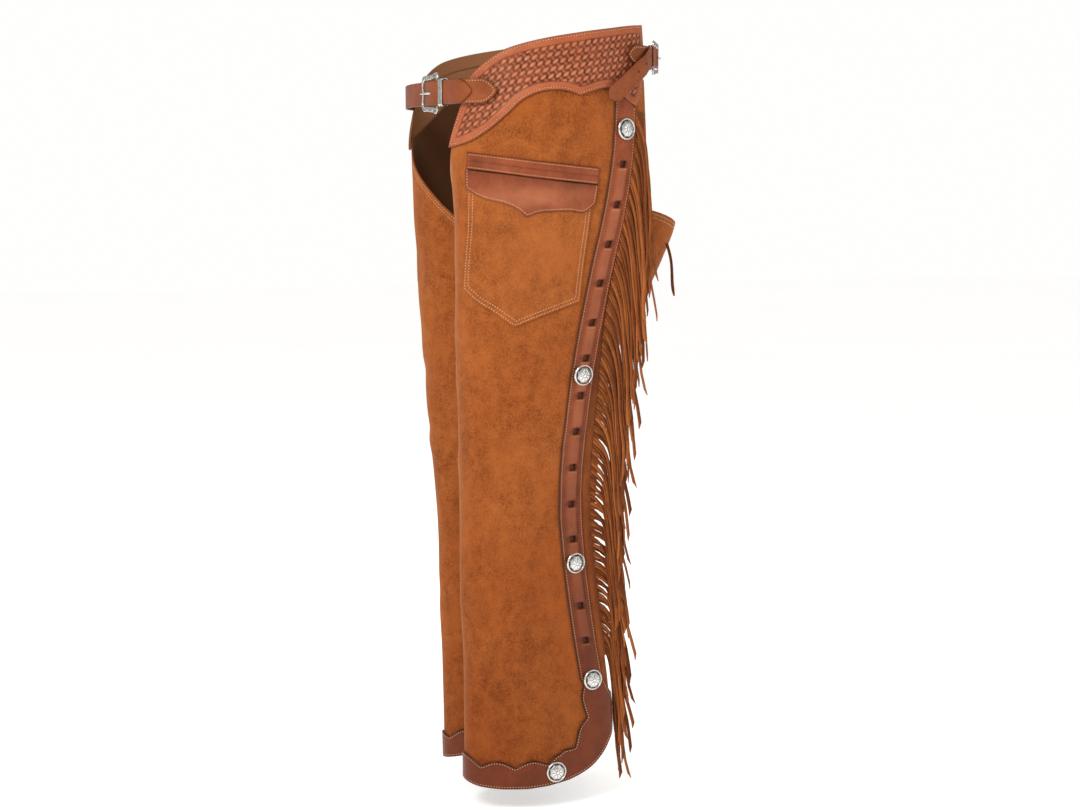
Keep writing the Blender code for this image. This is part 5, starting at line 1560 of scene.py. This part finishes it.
def arithmetic(tree, kind, first, second):
    """A sum or product of two values."""
    node = tree.nodes.new("ShaderNodeMath")
    node.operation = kind
    feed(tree, node.inputs[0], first)
    feed(tree, node.inputs[1], second)
    return node.outputs[0]


def times(tree, first, second):
    """The product of two values."""
    return arithmetic(tree, "MULTIPLY", first, second)


def plus(tree, first, second):
    """The sum of two values."""
    return arithmetic(tree, "ADD", first, second)


def mark(tree, name):
    """A value stored at the mesh's points."""
    node = tree.nodes.new("ShaderNodeAttribute")
    node.attribute_name = name
    return node.outputs["Fac"]


def bump(tree, shader, height, strength, distance):
    """Feed a height to the shader's normal."""
    node = tree.nodes.new("ShaderNodeBump")
    node.inputs["Strength"].default_value = strength
    node.inputs["Distance"].default_value = distance
    tree.links.new(height, node.inputs["Height"])
    tree.links.new(node.outputs["Normal"], shader.inputs["Normal"])


def clouds_group():
    """Soft patches: noise stretched to the full range."""
    inputs = (("Where", "NodeSocketVector", None), ("Scale", "NodeSocketFloat", 20.0),
              ("Low", "NodeSocketFloat", 0.35), ("High", "NodeSocketFloat", 0.66))
    tree, given, made = node_group("clouds", inputs, (("Amount", "NodeSocketFloat"),))
    value = noise(tree, given["Where"], given["Scale"], 4, 0.6)
    tree.links.new(ranged(tree, value, given["Low"], given["High"]), made["Amount"])


def clouds(tree, at, scale, low=0.35, high=0.66):
    """Soft patches from the shared group."""
    return use_group(tree, "clouds", Where=at, Scale=scale, Low=low, High=high)["Amount"]


def hide_group():
    """Leather tones: clouds between light and dark, flecks, dark hollows (painted shade in recesses, with
    real pressed lines) and rims (dark cut edges, with painted shadow on the strip), and its grain.
    """
    colours = tuple((key, "NodeSocketColor", None) for key in ("Light", "Dark", "Deep"))
    inputs = (("Where", "NodeSocketVector", None), *colours, ("Hollow", "NodeSocketFloat", 0.0),
              ("Rim", "NodeSocketFloat", 0.0))
    outputs = (("Colour", "NodeSocketColor"), ("Grain", "NodeSocketFloat"), ("Rough", "NodeSocketFloat"))
    tree, given, made = node_group("hide", inputs, outputs)
    cloud = ranged(tree, noise(tree, given["Where"], 26, 4, 0.6), 0.33, 0.68)
    fleck = ranged(tree, noise(tree, given["Where"], 240, 3, 0.6), 0.35, 0.7)
    hollow_unevenness = ranged(tree, noise(tree, given["Where"], 70, 3, 0.6), 0.3, 0.7, 0.6, 1.0)
    colour = mixed(tree, cloud, given["Dark"], given["Light"])
    colour = mixed(tree, times(tree, fleck, 0.2), colour, given["Deep"])
    # Hollows darkened towards the deep tone: painted shade, made uneven by noise; pressed lines are really
    # darker.
    hollow = times(tree, given["Hollow"], hollow_unevenness)
    colour = mixed(tree, hollow, colour, given["Deep"])
    colour = mixed(tree, times(tree, given["Rim"], 0.85), colour, given["Deep"])
    tree.links.new(colour, made["Colour"])
    grain = tree.nodes.new("ShaderNodeTexVoronoi")
    grain.inputs["Scale"].default_value = 900
    tree.links.new(given["Where"], grain.inputs["Vector"])
    height = plus(tree, times(tree, grain.outputs["Distance"], 0.6), fleck)
    tree.links.new(height, made["Grain"])
    rough = plus(tree, ranged(tree, cloud, 0, 1, 0.36, 0.48), times(tree, hollow, 0.25))
    tree.links.new(rough, made["Rough"])


def start_material(name, rough, metal=0.0, **sockets):
    """A material whose Principled shader has its own sockets set; returns tree, shader and coordinates."""
    made = bpy.data.materials.new(name)
    made.use_nodes = True
    tree = made.node_tree
    shader = tree.nodes["Principled BSDF"]
    shader.inputs["Roughness"].default_value = rough
    shader.inputs["Metallic"].default_value = metal
    for key, value in sockets.items():
        shader.inputs[key.replace("_", " ").title().replace("Ior", "IOR")].default_value = value
    MATERIALS[name] = made
    return tree, shader, tree.nodes.new("ShaderNodeTexCoord").outputs["Object"]


def suede_material():
    """Brushed suede: cloudy rust tones, streaks of disturbed nap, fine pile, dark flesh side."""
    tree, shader, at = start_material("suede", 0.95, specular_ior_level=0.1, sheen_weight=0.24,
                                      sheen_roughness=0.45, sheen_tint=(1.0, 0.62, 0.36, 1.0))
    nap = ranged(tree, noise(tree, at, 34, 4, 0.65, (1.0, 1.0, 0.42)), 0.36, 0.66)
    pile = ranged(tree, noise(tree, at, 400, 3, 0.75), 0.36, 0.64)
    colour = mixed(tree, clouds(tree, at, 13.0), SUEDE_TONES["dark"], SUEDE_TONES["light"])
    layers = ((nap, 0.66, "nap"), (clouds(tree, at, 60.0, 0.4, 0.7), 0.5, "patch"), (pile, 0.5, "pile"))
    for amount, share, tone in layers:
        colour = mixed(tree, times(tree, amount, share), colour, SUEDE_TONES[tone])
    smudge = clouds(tree, at, 6.5, 0.42, 0.62)
    colour = tinted(tree, times(tree, smudge, 0.4), colour, SMUDGE_TINT)
    colour = tinted(tree, lower(tree, at, -0.5, -1.05), colour, FOOT_TINT)
    colour = mixed(tree, times(tree, mark(tree, "edge"), 0.35), colour, SUEDE_TONES["edge"])
    # The tone mark darkens towards deep and lightens towards pale: random strand tones, plus painted shade in
    # the fringe gaps and on one strand edge and a painted highlight on the other.
    own = mark(tree, "tone")
    colour = mixed(tree, ranged(tree, own, 0, 1, 0, 0.8), colour, SUEDE_TONES["deep"])
    colour = mixed(tree, ranged(tree, own, 0, -1, 0, 0.5), colour, SUEDE_TONES["pale"])
    colour = mixed(tree, mark(tree, "inside"), colour, SUEDE_TONES["inside"])
    tree.links.new(colour, shader.inputs["Base Color"])
    bump(tree, shader, plus(tree, pile, times(tree, nap, 1.5)), 0.35, 0.5 * MM)


def leather_material(name, light, dark, deep, painted_highlight, coat, low_tint):
    """Smooth leather from the shared tones, with painted highlights on lips, swells, stamp crowns and the
    flap, and a plain brown flesh side.
    """
    tree, shader, at = start_material(name, 0.45, specular_ior_level=0.28, specular_tint=(1.0, 0.7, 0.5, 1.0),
                                      coat_weight=coat, coat_roughness=0.25, coat_tint=(1.0, 0.9, 0.8, 1.0))
    hide = use_group(tree, "hide", Where=at, Light=light, Dark=dark, Deep=deep, Hollow=mark(tree, "hollow"),
                     Rim=mark(tree, "rim"))
    # Painted highlight towards the painted highlight tone, made patchy by clouds.
    uneven = clouds(tree, at, 34.0, 0.3, 0.66)
    share = times(tree, mark(tree, "painted_highlight"), ranged(tree, uneven, 0, 1, 0.3, 0.85))
    colour = mixed(tree, share, hide["Colour"], painted_highlight)
    colour = tinted(tree, lower(tree, at, -0.3, -0.85), colour, low_tint)
    lining = mixed(tree, mark(tree, "fold"), (0.26, 0.105, 0.042), (0.10, 0.036, 0.014))
    colour = mixed(tree, mark(tree, "inside"), colour, lining)
    tree.links.new(colour, shader.inputs["Base Color"])
    tree.links.new(hide["Rough"], shader.inputs["Roughness"])
    bump(tree, shader, hide["Grain"], 0.16, 0.35 * MM)


def silver_material():
    """Antiqued silver: bright and lightly scratched, blackened in its hollows."""
    tree, shader, at = start_material("silver", 0.25, 1.0)
    hollow = ranged(tree, mark(tree, "hollow"), 0.15, 0.8)
    cloud = clouds(tree, at, 160.0)
    colour = mixed(tree, cloud, (0.72, 0.70, 0.66), (0.86, 0.85, 0.82))
    colour = mixed(tree, hollow, colour, (0.045, 0.038, 0.03))
    tree.links.new(colour, shader.inputs["Base Color"])
    rough = plus(tree, ranged(tree, cloud, 0, 1, 0.2, 0.34), times(tree, hollow, 0.3))
    tree.links.new(rough, shader.inputs["Roughness"])
    bump(tree, shader, noise(tree, at, 900, 2), 0.06, 0.1 * MM)


def thread_material():
    """Waxed thread: pale tan with fine darker twists."""
    tree, shader, at = start_material("thread", 0.7, specular_ior_level=0.3)
    cloud = clouds(tree, at, 900.0)
    soil = clouds(tree, at, 30.0)
    colour = mixed(tree, cloud, (0.47, 0.24, 0.115), (0.68, 0.43, 0.26))
    colour = mixed(tree, times(tree, soil, 0.3), colour, (0.36, 0.17, 0.08))
    tree.links.new(colour, shader.inputs["Base Color"])
    bump(tree, shader, cloud, 0.3, 0.1 * MM)


def zip_materials():
    """Woven tape: fine bands broken by clouds; and dull bronze teeth."""
    tree, shader, at = start_material("tape", 0.85, specular_ior_level=0.2)
    wave = tree.nodes.new("ShaderNodeTexWave")
    wave.bands_direction = "Z"
    wave.inputs["Scale"].default_value = 260
    tree.links.new(at, wave.inputs["Vector"])
    cloud = clouds(tree, at, 420.0)
    threads = times(tree, wave.outputs["Fac"], cloud)
    colour = mixed(tree, threads, (0.045, 0.022, 0.012), (0.12, 0.062, 0.034))
    tree.links.new(colour, shader.inputs["Base Color"])
    bump(tree, shader, wave.outputs["Fac"], 0.4, 0.2 * MM)
    tree, shader, at = start_material("coil", 0.4, 1.0)
    cloud = clouds(tree, at, 300.0)
    tree.links.new(mixed(tree, cloud, (0.16, 0.10, 0.05), (0.34, 0.24, 0.13)), shader.inputs["Base Color"])
    tree.links.new(ranged(tree, cloud, 0, 1, 0.32, 0.5), shader.inputs["Roughness"])


def make_materials():
    """Every finish."""
    clouds_group()
    hide_group()
    suede_material()
    for leather in LEATHERS:
        leather_material(*leather)
    silver_material()
    thread_material()
    zip_materials()
    tree, shader, at = start_material("floor", 0.9)
    cloud = clouds(tree, at, 2.0)
    tree.links.new(mixed(tree, cloud, (0.88, 0.875, 0.865), (0.9, 0.895, 0.885)), shader.inputs["Base Color"])
    shader.inputs["Emission Color"].default_value = (1.0, 0.995, 0.985, 1.0)
    shader.inputs["Emission Strength"].default_value = 0.5


def surroundings():
    """White surroundings that light the piece less than they show."""
    world = bpy.data.worlds.new("studio")
    world.use_nodes = True
    tree = world.node_tree
    shade = tree.nodes["Background"]
    path = tree.nodes.new("ShaderNodeLightPath")
    strength = SKY_LIGHT
    for ray, level in (("Is Glossy Ray", SKY_MIRRORED), ("Is Camera Ray", SKY_SEEN)):
        mix = tree.nodes.new("ShaderNodeMix")
        feed(tree, mix.inputs["A"], strength)
        mix.inputs["B"].default_value = level
        tree.links.new(path.outputs[ray], mix.inputs["Factor"])
        strength = mix.outputs["Result"]
    tree.links.new(strength, shade.inputs["Strength"])
    shade.inputs["Color"].default_value = (1.0, 0.995, 0.985, 1.0)
    bpy.context.scene.world = world


def lamps():
    """Soft round lamps about the piece, aimed at its middle."""
    for name, spot, size, power in LIGHTS:
        light = bpy.data.lights.new(name, "AREA")
        light.shape = "DISK"
        light.size = size
        light.energy = power
        lamp = bpy.data.objects.new(name, light)
        lamp.location = spot
        lamp.rotation_euler = (Vector(LIGHTS_AIM) - Vector(spot)).to_track_quat("-Z", "Y").to_euler()
        bpy.context.scene.collection.objects.link(lamp)


def set_camera():
    """The camera: turned, pitched and placed as the photograph's was."""
    camera = bpy.data.cameras.new("camera")
    camera.lens = CAMERA_LENS
    camera.sensor_width = 36.0
    camera.clip_start = 0.05
    seat = bpy.data.objects.new("camera", camera)
    back = Vector((math.cos(CAMERA_TURN), -math.sin(CAMERA_TURN), 0))
    right = Vector((math.sin(CAMERA_TURN), math.cos(CAMERA_TURN), 0))
    look = -back * math.cos(CAMERA_PITCH) - Vector((0, 0, math.sin(CAMERA_PITCH)))
    turn = Matrix((right, right.cross(look), -look)).transposed().to_4x4()
    spot = back * CAMERA_FAR + right * CAMERA_ASIDE + Vector((0, 0, CAMERA_HEIGHT))
    seat.matrix_world = Matrix.Translation(spot) @ turn
    bpy.context.scene.collection.objects.link(seat)
    bpy.context.scene.camera = seat


def stage():
    """Pale floor, soft lights, pale surroundings and the camera."""
    half = FLOOR_HALF
    mesh = bpy.data.meshes.new("floor")
    corners = [(x, y, FLOOR_LEVEL) for x, y in ((-half, -half), (half, -half), (half, half), (-half, half))]
    mesh.from_pydata(corners, [], [(0, 1, 2, 3)])
    mesh.materials.append(MATERIALS["floor"])
    floor = bpy.data.objects.new("floor", mesh)
    bpy.context.scene.collection.objects.link(floor)
    lamps()
    surroundings()
    set_camera()
    bpy.context.scene.view_settings.view_transform = "Standard"


def build():
    """Make every piece."""
    make_materials()
    leg_area = sheet_area(*leg_grid())
    belts()
    for tag, side in (("left", 1), ("right", -1)):
        leg = leg_panel(tag, side)
        top = yoke(tag, side)
        sewn = [edge_band(tag, side), *pocket(tag, side), *fringe(tag, side)]
        lace(tag, side)
        zip_strip(tag, side)
        conchos(tag, side)
        thigh_tie(tag, side)
        settle(swept(f"stitches_{tag}", np.concatenate(STITCHES[tag]), "thread"), [])
    stage()


build()
